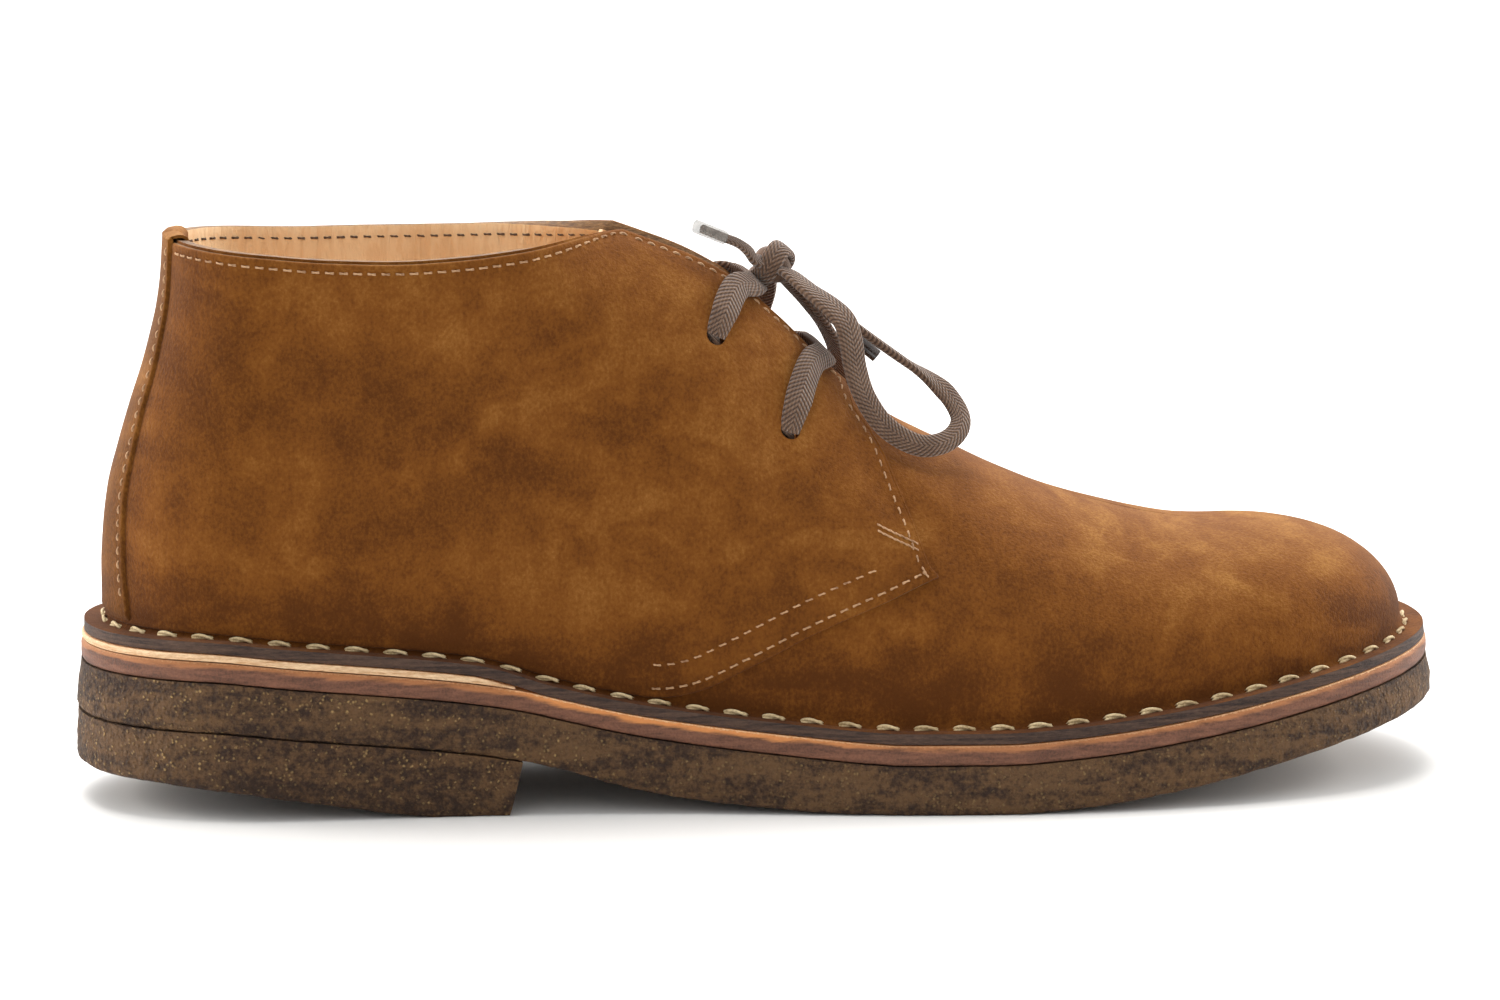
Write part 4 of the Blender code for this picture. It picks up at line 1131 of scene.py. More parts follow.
@dataclass(frozen=True)
class MidsoleLeather:
    """Sanded edge of the leather midsole, pinkish tan with a frayed orange arris above."""

    name: str = "midsole_edge"
    dark: Color = (0.070, 0.026, 0.014)
    middle: Color = (0.215, 0.088, 0.048)
    orange: Color = (0.640, 0.245, 0.070)
    pale: Color = (0.780, 0.500, 0.270)

    def material(self) -> bpy.types.Material:
        """Builds the material from the UV, whose V is the height up the edge."""
        s = Shade(self.name)
        up = s.uv(1)
        x = s.part(0, s.place())
        long = s.noise(3.0 * MM, 4.0, 0.65, (0.35, 0.35, 2.2))
        grit = s.noise(0.55 * MM, 3.0, 0.7)
        smear = s.noise(7 * MM, 2.0, 0.6, (0.5, 0.5, 2.0))
        shade = long.ramp(0.34, 0.66) * 0.6 + grit.ramp(0.3, 0.7) * 0.5
        color = s.mix(shade.clamped(), self.dark, self.middle)
        frayed = (up + (long - 0.5) * 0.5 + (smear - 0.5) * 0.35).ramp(0.62, 0.86)
        waist = x.ramp(-0.072, -0.05) * (1 - x.ramp(-0.012, 0.03))
        color = s.mix((frayed * (0.45 + waist * 0.55)).clamped(), color, self.orange)
        bright = (up + (grit - 0.5) * 0.35).ramp(0.9, 1.02) * (0.3 + waist * 0.6 + x.ramp(0.06, 0.12) * 0.5)
        color = s.mix(bright.clamped(), color, self.pale)
        normal = s.bump(long * 0.5 + grit * 0.5 + frayed * smear * 0.7, 0.6 * MM)
        return s.surface(color, 0.62 + (grit - 0.5) * 0.35, normal, specular_ior_level=0.4)


@dataclass(frozen=True)
class Crepe:
    """Natural crepe rubber: yellow crumbs in dark brown, streaked in level bands."""

    name: str = "crepe"
    dark: Color = (0.030, 0.0125, 0.0055)
    middle: Color = (0.135, 0.068, 0.026)
    crumb: Color = (0.520, 0.330, 0.125)
    streaks: float = 1.0

    def material(self) -> bpy.types.Material:
        """Builds the material."""
        s = Shade(self.name)
        band = s.noise(7 * MM, 4.0, 0.65, (0.22, 0.22, 1.3), 0.3)
        lump = s.noise(2.1 * MM, 3.0, 0.7)
        grit = s.noise(0.8 * MM, 3.0, 0.75)
        crumbs = s.cells(1.15 * MM)
        tint = s.cells(1.9 * MM, output="Color")
        shade = band.ramp(0.36, 0.66) * 0.5 * self.streaks + lump.ramp(0.3, 0.72) * 0.55 + (grit - 0.5) * 0.8
        color = s.mix(shade.ramp(0.05, 0.85), self.dark, self.middle)
        bright = s.part(0, tint).ramp(0.35, 0.9) * (band.ramp(0.3, 0.6) * 0.7 + 0.3)
        grain = (1 - crumbs.ramp(0.1, 0.42)) * bright
        # painted shade: the crumbs are dimmed toward the front, where the forepart lies in shade
        back = 1 - s.part(0, s.place()).ramp(-0.07, -0.02) * 0.55
        color = s.mix((grain * grit.ramp(0.3, 0.62) * 0.95 * back).clamped(), color, self.crumb)
        normal = s.bump(lump * 0.8 + grit * 0.8 + (1 - crumbs.ramp(0.0, 0.6)) * 0.5, 1.1 * MM)
        return s.surface(color, 0.78 - (grit - 0.5) * 0.5, normal, specular_ior_level=0.4)


@dataclass(frozen=True)
class SmoothLeather:
    """Thin lining leather with fine creases."""

    name: str
    dark: Color
    light: Color
    crease: float = 1.0

    def material(self) -> bpy.types.Material:
        """Builds the material."""
        s = Shade(self.name)
        wrinkle = s.noise(2.6 * MM, 4.0, 0.6, (1.4, 1.0, 0.28), 0.8)
        cloud = s.noise(22 * MM, 2.0, 0.5)
        pore = s.noise(0.5 * MM, 2.0, 0.6)
        shade = cloud.ramp(0.3, 0.7) * 0.6 + wrinkle.ramp(0.36, 0.6) * 0.4
        color = s.mix(shade, self.dark, self.light)
        normal = s.bump(wrinkle * 0.8 * self.crease + pore * 0.12, 0.8 * MM)
        return s.surface(color, 0.55 + (pore - 0.5) * 0.2, normal, specular_ior_level=0.4)


@dataclass(frozen=True)
class Thread:
    """Waxed or fine sewing thread."""

    name: str
    dark: Color
    light: Color

    def material(self) -> bpy.types.Material:
        """Builds the material."""
        s = Shade(self.name)
        ply = s.noise(0.5 * MM, 3.0, 0.6)
        dirt = s.noise(6 * MM, 2.0, 0.6)
        shade = ply.ramp(0.3, 0.6) * 0.5 + dirt.ramp(0.32, 0.6) * 0.5
        color = s.mix(shade, self.dark, self.light)
        return s.surface(color, 0.6, s.bump(ply, 0.15 * MM), specular_ior_level=0.4)


@dataclass(frozen=True)
class LaceWeave:
    """Flat woven lace: a fine herringbone that follows the lace, rubbed and fuzzy."""

    name: str = "lace_weave"
    dark: Color = (0.050, 0.026, 0.016)
    middle: Color = (0.175, 0.100, 0.062)
    light: Color = (0.340, 0.225, 0.150)

    def material(self) -> bpy.types.Material:
        """Builds the material from the UV in millimetres across and along."""
        s = Shade(self.name)
        across, run = s.uv(0), s.uv(1)
        rib = ((run + across.size() * 0.75) * (2 * math.pi / 1.15)).sine() * 0.5 + 0.5
        row = (across * (2 * math.pi / 0.9)).sine() * 0.5 + 0.5
        fuzz = s.noise(0.35 * MM, 2.0, 0.7)
        dust = s.noise(5 * MM, 3.0, 0.6)
        shade = rib * 0.42 + row * 0.16 + (fuzz - 0.5) * 0.7 + (dust - 0.5) * 0.35 + 0.08
        color = s.mix(shade.ramp(0.0, 0.6), self.dark, self.middle)
        color = s.mix(shade.ramp(0.45, 1.0), color, self.light)
        normal = s.bump(rib * 0.7 + row * 0.3 + fuzz * 0.35, 0.42 * MM)
        return s.surface(color, 0.9, normal, specular_ior_level=0.2, sheen_weight=0.3, sheen_roughness=0.5)


@dataclass(frozen=True)
class Film:
    """Clear film of a lace tip, with the lace's end dark inside."""

    name: str
    color: Color
    alpha: float

    def material(self) -> bpy.types.Material:
        """Builds the material."""
        s = Shade(self.name)
        smear = s.noise(1.4 * MM, 2.0, 0.5, (0.4, 0.4, 1.0))
        color = s.mix(smear.ramp(0.4, 0.6), self.color, tuple(0.5 * c for c in self.color))
        rough = 0.16 + smear * 0.1
        return s.surface(
            color, rough, None, alpha=self.alpha, coat_weight=0.6, specular_ior_level=0.6
        )


@dataclass
class Finishes:
    """All materials, made once."""

    def __post_init__(self) -> None:
        """Builds them."""
        self.suede = Suede().material()
        # painted light: a lighter copy of the suede stands in for the light on the back stay; the tongue uses
        # it too
        self.stay = Suede(
            "suede_stay_painted_light", (0.090, 0.030, 0.005), (0.200, 0.075, 0.012), (0.400, 0.190, 0.050)
        ).material()
        self.flange = CutEdge("flange_edge", (0.020, 0.011, 0.009), (0.105, 0.058, 0.038), 0.6).material()
        self.raw = CutEdge("raw_edge", (0.075, 0.032, 0.010), (0.250, 0.125, 0.040), 0.3).material()
        self.rand = CutEdge("rand_leather", (0.520, 0.270, 0.120), (0.880, 0.640, 0.400), 0.5).material()
        self.midsole = MidsoleLeather().material()
        self.crepe = Crepe().material()
        self.lift = Crepe("crepe_lift", streaks=0.8).material()
        self.lining = SmoothLeather("lining", (0.800, 0.510, 0.270), (0.950, 0.700, 0.430)).material()
        self.sock = SmoothLeather("sock", (0.430, 0.235, 0.105), (0.620, 0.385, 0.195), 0.4).material()
        self.welt = Thread("welt_thread", (0.330, 0.215, 0.085), (0.800, 0.640, 0.380)).material()
        self.seam = Thread("seam_thread", (0.220, 0.105, 0.045), (0.560, 0.340, 0.180)).material()
        self.dark_seam = Thread("dark_seam_thread", (0.030, 0.018, 0.012), (0.120, 0.070, 0.045)).material()
        self.lace = LaceWeave().material()
        self.near_tip = Film("clear_tip", (0.30, 0.28, 0.25), 0.45).material()
        self.far_tip = Film("dark_tip", (0.045, 0.028, 0.022), 0.92).material()


def place_piece(
    obj: bpy.types.Object, nodes: tuple[str, ...], materials: tuple[bpy.types.Material, ...] = ()
) -> bpy.types.Object:
    """Gives a finished piece its materials, body and the nodes that it stands for.

    Args:
        obj: the piece.
        nodes: nodes that it replaces.
        materials: its materials in order, where they aren't set yet.

    Returns:
        The same object.
    """
    if materials:
        obj.data.materials.clear()
        for material in materials:
            obj.data.materials.append(material)
    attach(obj, "root")
    if nodes:
        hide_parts(*nodes)
    LOG.info("%s: %d faces", obj.name, len(obj.data.polygons))
    return obj


@dataclass
class SoleUnit:
    """Crepe sheet, heel lift, leather midsole, pale heel rand and insole."""

    last: Last
    finishes: Finishes
    breast_back: float = 94.5 * MM
    breast_slant: float = 3 * MM
    rocker: float = 8.5 * MM
    midsole_inset: float = 1.6 * MM
    insole: float = 3 * MM

    def build(self) -> None:
        """Builds all layers."""
        self.crepe_sheet()
        self.heel_lift()
        self.midsole()
        self.rand()
        self.insole_board()

    def sections(self, outer: list[Array], inner: list[Array], across: int) -> Array:
        """Closed sections from the levels of two sides.

        Args:
            outer: rows of points up the outer side.
            inner: the same up the inner side.
            across: points across top and bottom.

        Returns:
            Sections by points by three coordinates.
        """
        share = np.linspace(0, 1, across + 2)[1:-1]
        loop = list(outer)
        loop += [outer[-1] * (1 - t) + inner[-1] * t for t in share]
        loop += inner[::-1]
        loop += [inner[0] * (1 - t) + outer[0] * t for t in share]
        loop.append(outer[0])
        return np.stack(loop, 1)

    def crumbled(self, points: Array, depth: float) -> Array:
        """Points of a crepe edge made lumpy, sideways alone.

        Args:
            points: points of an edge.
            depth: how far they move, in metres.

        Returns:
            The moved points.
        """
        lump = wobble(points, 2.3 * MM, 0.7) * 0.6 + wobble(points, 1.05 * MM, 2.9) * 0.4
        away = points * np.array([0.25, 1.0, 0.0])
        side = unit(away)
        rise = np.array([0.0, 0.0, 0.4]) * wobble(points, 1.6 * MM, 5.1)[..., None]
        free = np.clip(points[..., 2] / MM - 0.9, 0, 1)
        return points + (side * (lump - 0.55)[..., None] + rise * free[..., None]) * depth

    def crepe_block(
        self, name: str, bows: Array, places: Callable[[float, float], Array],
        span: Callable[[Array], tuple[Array, Array]], fixed: list[int],
    ) -> bpy.types.Object:
        """A crepe layer with a lumpy cut edge.

        Args:
            name: the piece's name.
            bows: rows of share of its height and inset in millimetres.
            places: places along X for an inset and a share of its height.
            span: lower and upper heights at places along X.
            fixed: points of each row that stay on the middle line.

        Returns:
            The new object.
        """
        outer, inner = [], []
        for share in CREPE_LEVELS:
            inset = float(np.interp(share, bows[:, 0], bows[:, 1])) * MM
            x = places(inset, share)
            low, high = span(x)
            depth = CRUMB_DEPTH * np.clip(4 * (1 - share), 0, 1)
            for side, rows in ((Side.OUTER, outer), (Side.INNER, inner)):
                row = self.last.edge(side, x, inset, low + share * (high - low))
                moved = self.crumbled(row, depth)
                moved[fixed, 1] = row[fixed, 1]
                rows.append(moved)
        obj = Bench.loop_solid(name, self.sections(outer, inner, 16))
        Bench.smooth(obj, 50)
        return obj

    def crepe_sheet(self) -> None:
        """The crepe sheet from heel to toe."""
        last = self.last
        bows = np.array([(0, 1.0), (0.04, 0.55), (0.12, 0.3), (0.5, 0.5), (1, 1.6)])
        obj = self.crepe_block(
            "crepe_sheet", bows, lambda inset, share: last.stations(inset, 40, 190),
            lambda x: (last.sheet_under(x), last.sheet_line(x) + last.crepe), [0, -1],
        )
        place_piece(obj, ("outsole",), (self.finishes.crepe,))

    def heel_lift(self) -> None:
        """The lift under the heel, rounded up at the back and cut off at a slant in front."""
        last, back = self.last, self.last.heel_x + self.breast_back
        bows = np.array([(0, 0.9), (0.04, 0.35), (0.1, 0.0), (0.55, 0.1), (1, 0.7)])

        def span(x: Array) -> tuple[Array, Array]:
            """Lower and upper heights, the lower one rising to the back."""
            share = (np.minimum(x, back) - last.heel_x) / self.breast_back
            return smooth(ROCKER, 1, share) * self.rocker, last.sheet_under(x) - last.gap

        obj = self.crepe_block(
            "heel_lift", bows,
            lambda inset, share: self.from_back(inset, back + self.breast_slant * share, 40, 46), span, [0],
        )
        place_piece(obj, ("heel",), (self.finishes.lift,))

    def from_back(self, inset: float, end: float, turns: int, steps: int) -> Array:
        """Places along X from the rounded back to an end."""
        last = self.last
        turn = np.linspace(0, math.pi / 2, turns)
        back = last.centre - (last.centre - last.heel_x - inset) * np.cos(turn)
        return np.concatenate([back, np.linspace(last.centre, end, steps)[1:]])

    def midsole(self) -> None:
        """The leather midsole, its arris frayed along the waist."""
        last = self.last
        outer, inner, levels = [], [], (0.0, 0.06, 0.18, 0.35, 0.55, 0.75, 0.9, 1.0)
        for share in levels:
            bow = float(np.interp(share, [0, 0.1, 0.3, 0.8, 1], [0.45, 0.1, 0.0, 0.1, 0.55])) * MM
            inset = self.midsole_inset + bow
            x = last.stations(inset, 34, 190)
            z = last.sheet_line(x) + last.crepe + last.gap + share * last.midsole
            for side, rows in ((Side.OUTER, outer), (Side.INNER, inner)):
                row = last.edge(side, x, inset, z)
                waist = np.clip((x + 75 * MM) / (15 * MM), 0, 1) * np.clip((30 * MM - x) / (30 * MM), 0, 1)
                fray = waist * np.clip(share * 2 - 0.9, 0, 1)
                rough = wobble(row, 2.6 * MM, 3.3) * 0.10 + np.abs(wobble(row, 1.3 * MM, 1.2)) * 0.45 * fray
                row = row + unit(row * np.array([0.2, 1, 0])) * (-rough * MM)[:, None]
                row[[0, -1], 1] = last.shift(x[[0, -1]])
                rows.append(row)
        grid = self.sections(outer, inner, 8)
        up = list(levels) + [1.0] * 8 + list(levels[::-1]) + [0.0] * 8 + [0.0]
        uv = np.stack(np.broadcast_arrays(np.zeros((len(grid), 1)), np.array(up)[None]), 2)
        obj = Bench.sheet("midsole_leather", grid, uv)
        Bench.weld(obj, fill=True)
        Bench.smooth(obj, 50)
        place_piece(obj, ("midsole",), (self.finishes.midsole,))

    def rand(self) -> None:
        """The pale strip under the flange from the heel's back to the waist."""
        last = self.last
        end = last.heel_x + last.rand_length
        loop = []
        profile = [(0.15, 0.0), (-0.1, 0.3), (-0.1, 0.7), (0.15, 1.0)]
        depth = last.feather_inset + last.wall - self.midsole_inset
        for more, share in profile + [(depth / MM, 1.0), (depth / MM, 0.0), profile[0]]:
            inset = self.midsole_inset + 0.3 * MM + more * MM if more < 2 else self.midsole_inset + more * MM
            x = self.from_back(inset, end, 34, 60)
            z = last.midsole_top(x) + last.gap
            pared = np.clip((end - x) / (last.rand_runout / 2), 0, 1)
            ragged = 1 + 0.25 * wobble(np.stack([x, 0 * x, 0 * x], 1), 4 * MM, 0.3) * (1 - pared)
            z = z + last.rand * np.minimum(last.rand_share(x), 0.3 + 0.7 * pared) * share * ragged
            sides = [last.edge(side, x, inset, z) for side in (Side.OUTER, Side.INNER)]
            loop.append(np.concatenate([sides[0][::-1], sides[1][1:]]))
        obj = Bench.sheet("heel_rand_strip", np.stack(loop, 1))
        Bench.weld(obj, fill=True)
        Bench.smooth(obj, 50)
        place_piece(obj, ("heel_rand",), (self.finishes.rand,))

    def insole_board(self) -> None:
        """The footbed inside, its edge rounded."""
        last = self.last
        base = last.feather_inset + last.wall + 2 * last.gap
        outer, inner = [], []
        for share, more in ((0.0, 0.3), (0.3, 0.0), (0.75, 0.05), (0.93, 0.35), (1.0, 0.9)):
            x = last.stations(base + more * MM, 30, 120)
            z = last.midsole_top(x) + last.gap + share * self.insole
            for side, rows in ((Side.OUTER, outer), (Side.INNER, inner)):
                rows.append(last.edge(side, x, base + more * MM, z))
        grid = self.sections(outer, inner, 18)
        dish = wobble(grid, 30 * MM, 0.2) * 0.15 * MM - 0.15 * MM
        top = np.zeros(grid.shape[1])
        top[6:22] = 1
        grid[..., 2] += dish * top
        obj = Bench.loop_solid("sock_liner", grid)
        Bench.smooth(obj, 50)
        place_piece(obj, ("insole",), (self.finishes.sock,))


@dataclass
class UpperShell:
    """Vamp with its turned-out foot, the two quarters in one and the back stay."""

    last: Last
    finishes: Finishes
    quarter: float = 1.2 * MM
    stay: float = 1.0 * MM
    rim_step: float = 0.6 * MM
    hole: float = 4.6 * MM
    stay_foot: float = 21 * MM
    stay_top: float = 12 * MM

    def build(self) -> None:
        """Builds the three layers and punches the lace holes."""
        vamp = self.vamp()
        quarters = self.quarters()
        stay = self.back_stay()
        self.punch(vamp, quarters)
        for obj in (vamp, quarters, stay):
            Bench.smooth(obj, 45)
        place_piece(vamp, ("upper",))
        place_piece(quarters, ())
        place_piece(stay, ())

    def hole_places(self) -> list[tuple[Array, Array]]:
        """Point and outward direction of each lace hole."""
        found = []
        for share, height in EYELETS:
            u = self.last.at_share(share) - self.last.centre
            for side in Side:
                h = height * self.last.instep_height
                found.append((self.last.bare(side, u, h), self.last.outward(side, u, h)))
        return found

    def punch(self, *layers: bpy.types.Object) -> None:
        """Cuts the round lace holes through some layers."""
        pins = []
        for here, out in self.hole_places():
            Bench.clear()
            angles = Vector(out).to_track_quat("Z", "Y").to_euler()
            bpy.ops.mesh.primitive_cylinder_add(
                vertices=28, radius=self.hole / 2, depth=16 * MM, location=tuple(here), rotation=tuple(angles)
            )
            pins.append(bpy.context.object)
        Bench.pick(*pins)
        bpy.ops.object.join()
        cutter = bpy.context.object
        for layer in layers:
            Bench.apply(layer, "BOOLEAN", object=cutter, operation="DIFFERENCE", solver="EXACT")
        bpy.data.objects.remove(cutter, do_unlink=True)

    def toe_wall(self, side: Side, turn: float, count: int) -> Array:
        """A section of the rounded toe, from the foot of its wall to the pole on the ridge.

        Args:
            side: which side.
            turn: 0 beside the pole and 1 straight ahead of it.
            count: number of points.

        Returns:
            The points.
        """
        last = self.last
        pole_x = last.heel_x + last.toe_pole
        top = float(last.ridge(pole_x)[0])
        sine = math.sin(turn * math.pi / 2)
        u = pole_x - last.centre
        h = last.heights(side, u, last.wall, top, count)
        beside = last.bare(side, u, h)
        pole = beside[-1]
        foot_beside = last.shift(pole_x) + side.value * last.half_width(pole_x, last.feather_inset)
        inward = (beside[:, 1] - pole[1]) / (foot_beside - pole[1])
        angle = np.linspace(0.045, math.pi / 2, 240)
        round_r, round_z = np.cos(angle) ** (2 / 2.3), np.sin(angle) ** (2 / 2.3)
        run = np.concatenate([[0], np.cumsum(np.hypot(np.diff(round_r) * 1.4, np.diff(round_z)))])
        even = np.linspace(0, run[-1], count)
        blend = sine**2
        r = inward * (1 - blend) + np.interp(even, run, round_r) * blend
        up = h / top * (1 - blend) + np.interp(even, run, round_z) * blend
        x = pole_x + (last.toe_x - last.feather_inset - pole_x) * sine
        y = last.shift(x) + side.value * last.half_width(x, last.feather_inset)
        foot = np.array([x, float(y), float(last.flange_top(x))])
        return np.stack(
            [
                pole[0] + (foot[0] - pole[0]) * r,
                pole[1] + (foot[1] - pole[1]) * r,
                foot[2] + (pole[2] - foot[2]) * up,
            ],
            1,
        )

    def vamp_columns(self, side: Side, rows: int) -> list[Array]:
        """Sections of one half, from the back's middle to the toe's.

        Args:
            side: which side.
            rows: points up the wall.

        Returns:
            One column of points a section.
        """
        last = self.last
        reach = last.feather_inset - last.flange_inset
        flange = [(last.flange_inset + reach * s, 0.0) for s in (0.0, 0.2, 0.42, 0.64, 0.76)]
        flange += [
            (last.feather_inset - 0.16 * reach, 0.12 * last.wall),
            (last.feather_inset - 0.04 * reach, 0.45 * last.wall),
        ]
        back = -last.heel_arc * np.linspace(1, 0, 37)[:-1]
        ahead = np.linspace(0, last.heel_x + last.toe_pole - last.centre, 170)
        before_root = last.slot_round * np.array([0.01, 0.03, 0.07, 0.14])
        slot = last.heel_x + last.slot_root - before_root - last.centre
        us = np.sort(np.concatenate([back, ahead, slot]))
        columns = []
        tops = last.top(side, us)
        for u, top in zip(us, tops):
            x, sine, _ = last.split(u)
            foot = []
            for inset, h in flange:
                fx = x - (last.heel_cap - inset) * sine
                foot.append(last.edge(side, fx, inset, last.flange_top(fx) + h))
            h = last.heights(side, u, last.wall, float(top), rows)
            columns.append(np.concatenate([np.array(foot).reshape(-1, 3), last.bare(side, u, h)]))
        pole_x = last.heel_x + last.toe_pole
        for turn in np.linspace(0, 1, 37)[1:]:
            sine = math.sin(turn * math.pi / 2)
            foot = []
            for inset, h in flange:
                fx = pole_x + (last.toe_x - inset - pole_x) * sine
                foot.append(last.edge(side, np.array(fx), inset, last.flange_top(fx) + h))
            columns.append(np.concatenate([np.array(foot).reshape(-1, 3), self.toe_wall(side, turn, rows)]))
        return columns

    def grid_normals(self, grid: Array) -> Array:
        """Directions out of a closed grid's face."""
        wrap = np.concatenate([grid[-2:-1], grid, grid[1:2]])
        normal = unit(np.cross(np.gradient(wrap, axis=0)[1:-1], np.gradient(grid, axis=1)))
        away = grid - np.array([0.0, 0.0, 40 * MM])
        return normal if (normal * away * np.array([0.1, 1, 0.5])).sum() > 0 else -normal

    def vamp(self) -> bpy.types.Object:
        """The lining, vamp and turned-out foot as one shell."""
        last = self.last
        outer = self.vamp_columns(Side.OUTER, 44)
        inner = self.vamp_columns(Side.INNER, 44)
        grid = np.array(outer + inner[::-1][1:])
        normal = self.grid_normals(grid)
        half = len(outer)
        move = np.zeros(grid.shape[:2])
        move[:half] = last.relief(Side.OUTER, grid[:half])
        move[half:] = last.relief(Side.INNER, grid[half:])
        grid = grid + normal * move[..., None]
        grid[-1] = grid[0]
        obj = Bench.sheet("upper_shell", grid, self.uv(grid))
        Bench.facing(obj, np.array([0.0, 0.0, 40 * MM]), np.array([0.1, 1, 0.5]))
        Bench.weld(obj, distance=4e-6, outside=False)
        for material in (self.finishes.suede, self.finishes.lining, self.finishes.raw, self.finishes.flange):
            obj.data.materials.append(material)
        Bench.apply(
            obj, "SOLIDIFY", thickness=last.wall, offset=-1, use_even_offset=True, use_quality_normals=True,
            material_offset=1, material_offset_rim=2,
        )
        for polygon in obj.data.polygons:
            foot = last.flange_top(polygon.center[0]) + 1 * MM
            if polygon.material_index == 2 and polygon.center[2] < foot:
                polygon.material_index = 3
        Bench.soften(obj, 0.45 * MM, 55)
        return obj

    def edged_heights(self, side: Side, u: float, low: float, high: float, count: int) -> tuple[Array, Array]:
        """Heights up a section, close together at both ends, and each one's distance from the nearer end.

        Args:
            side: which side.
            u: run along the wall.
            low: first height over the flange.
            high: last height over the flange.
            count: number of even steps between the ends.

        Returns:
            Heights and distances.
        """
        last = self.last
        dense = low + (high - low) * np.sin(np.linspace(0, 1, 161) * math.pi / 2)
        run = run_of(last.bare(side, u, dense))
        total = run[-1]
        near = np.array(EDGE_STEPS) * MM
        near = near * min(1.0, total / (8 * MM))
        at = np.concatenate([near, np.linspace(near[-1], total - near[-1], count)[1:-1], total - near[::-1]])
        return np.interp(at, run, dense), np.minimum(at, total - at)

    def edge_lift(self, distance: Array, lift: float) -> Array:
        """Height of a layer's face at a distance from its cut edge, with the seam's groove."""
        d = distance / MM
        rise = np.interp(d, EDGE_STEPS[:5], [-0.25, 0.62, 0.86, 0.96, 1.0]) * lift
        return rise - 0.16 * MM * np.exp(-(((d - 1.9) / 0.45) ** 2))

    def quarter_span(self, side: Side, u: Array) -> tuple[Array, Array]:
        """Lower and upper heights of the quarter at places along the wall."""
        last = self.last
        along = last.along(last.split(u)[0])
        low = np.maximum(smooth(QUARTER_FOOT, 1, along) * last.instep_height, 0.45 * last.wall)
        high = last.top(side, u, self.rim_step)
        front = smooth(QUARTER_FRONT, 1, along) * last.instep_height
        high = np.where(along > QUARTER_FRONT[0, 0], np.minimum(high, front), high)
        return low, np.maximum(high, low + 0.4 * MM)

    def uv(self, grid: Array) -> Array:
        """Place along X and height over the flange, in decimetres, for the suede's painted shade and
        highlight.
        """
        return np.stack([grid[..., 0] * 10, (grid[..., 2] - self.last.flange_top(grid[..., 0])) * 10], -1)

    def quarters(self) -> bpy.types.Object:
        """Both quarters as one sheet round the heel, over the vamp."""
        last = self.last
        front = last.at_share(QUARTER_FRONT[-1, 0]) - last.centre
        facing_end = last.at_share(QUARTER_FRONT[0, 0]) - last.centre
        ahead = facing_end + (front - facing_end) * np.array(FRONT_SHARES)
        back = -last.heel_arc * np.linspace(1, 0, 33)[:-1]
        us = np.concatenate([back, np.linspace(0, facing_end, 150), ahead])
        halves = []
        for side in (Side.INNER, Side.OUTER):
            columns = []
            for u, low, high in zip(us, *self.quarter_span(side, us)):
                h, distance = self.edged_heights(side, u, low, high, 34)
                ahead = np.clip((front - u) / (0.5 * MM), 0, 1)
                lift = np.minimum(self.edge_lift(distance, self.quarter), self.quarter * (ahead * 1.2 - 0.2))
                p = last.bare(side, u, h)
                columns.append(p + last.outward(side, u, h) * (lift + last.relief(side, p))[:, None])
            halves.append(columns)
        grid = np.array(halves[0][::-1] + halves[1][1:])
        obj = Bench.sheet("quarters", grid, self.uv(grid))
        count = grid.shape[1] - 1
        for material in (self.finishes.suede, self.finishes.raw):
            obj.data.materials.append(material)
        for index, polygon in enumerate(obj.data.polygons):
            row = index % count
            polygon.material_index = int(row < 1 or row > count - 2)
        Bench.facing(obj, np.array([0.0, 0.0, 40 * MM]), np.array([0.1, 1, 0.2]))
        Bench.weld(obj, distance=1e-6, outside=False)
        Bench.apply(obj, "SOLIDIFY", thickness=0.8 * MM, offset=-1)
        return obj

    def stay_half(self, share: Array | float) -> Array:
        """Half the stay's width at a share of its height."""
        return self.stay_foot + (self.stay_top - self.stay_foot) * share**0.7

    def stay_place(self, place: Array | float, share: Array | float) -> tuple[Side, Array]:
        """Side and runs along the wall of a place across the stay, from -1 to 1."""
        scale = 0.95 * (self.last.heel_cap + 0.35 * 2 * self.last.half_ball) * 0.78
        turn = 1 - np.abs(place) * self.stay_half(share) / scale
        return (Side.OUTER if np.all(place < 0) else Side.INNER), -self.last.heel_arc * turn

    def back_stay(self) -> bpy.types.Object:
        """The stay up the back, folded over the collar."""
        last = self.last
        rim = np.array([0.92, 0.96, 0.985, 0.998, 1.0])
        places = np.concatenate([-rim[::-1], np.linspace(-0.86, 0.86, 41), rim])
        base = self.quarter
        columns = []
        for place in places:
            column = []
            off = (1 - abs(place)) * 18 * MM
            edge = self.edge_lift(np.array([off]), self.stay)[0]
            share = np.linspace(0, 1, 60)
            side, u = self.stay_place(place, share)
            h = 0.75 * last.wall + share * (last.top(side, u) - 0.75 * last.wall)
            foot = np.interp(h - 0.75 * last.wall, [0, 0.1 * MM, 0.8 * MM], [0.0, 0.6, 1.0])
            column += list(last.skin(side, u, h, base + edge * foot))
            side, u = self.stay_place(place, 1.0)
            high = float(last.top(side, u))
            top = last.bare(side, u, high - 1 * MM)
            out = last.outward(side, u, high - 1 * MM)
            for up, away in STAY_FOLD:
                lift = base + edge if away == 1 else away * MM + base * max(0.0, away)
                column.append(top + np.array([0, 0, (up + 1) * MM]) + out * lift)
            columns.append(np.array(column))
        grid = np.array(columns)
        obj = Bench.sheet("back_stay", grid, self.uv(grid))
        obj.data.materials.append(self.finishes.stay)
        Bench.facing(obj, last.bare(Side.OUTER, 0.0, 40 * MM) * np.array([1, 0, 1]), np.array([1, 1, 0.0]))
        Bench.apply(obj, "SOLIDIFY", thickness=0.7 * MM, offset=-1)
        return obj


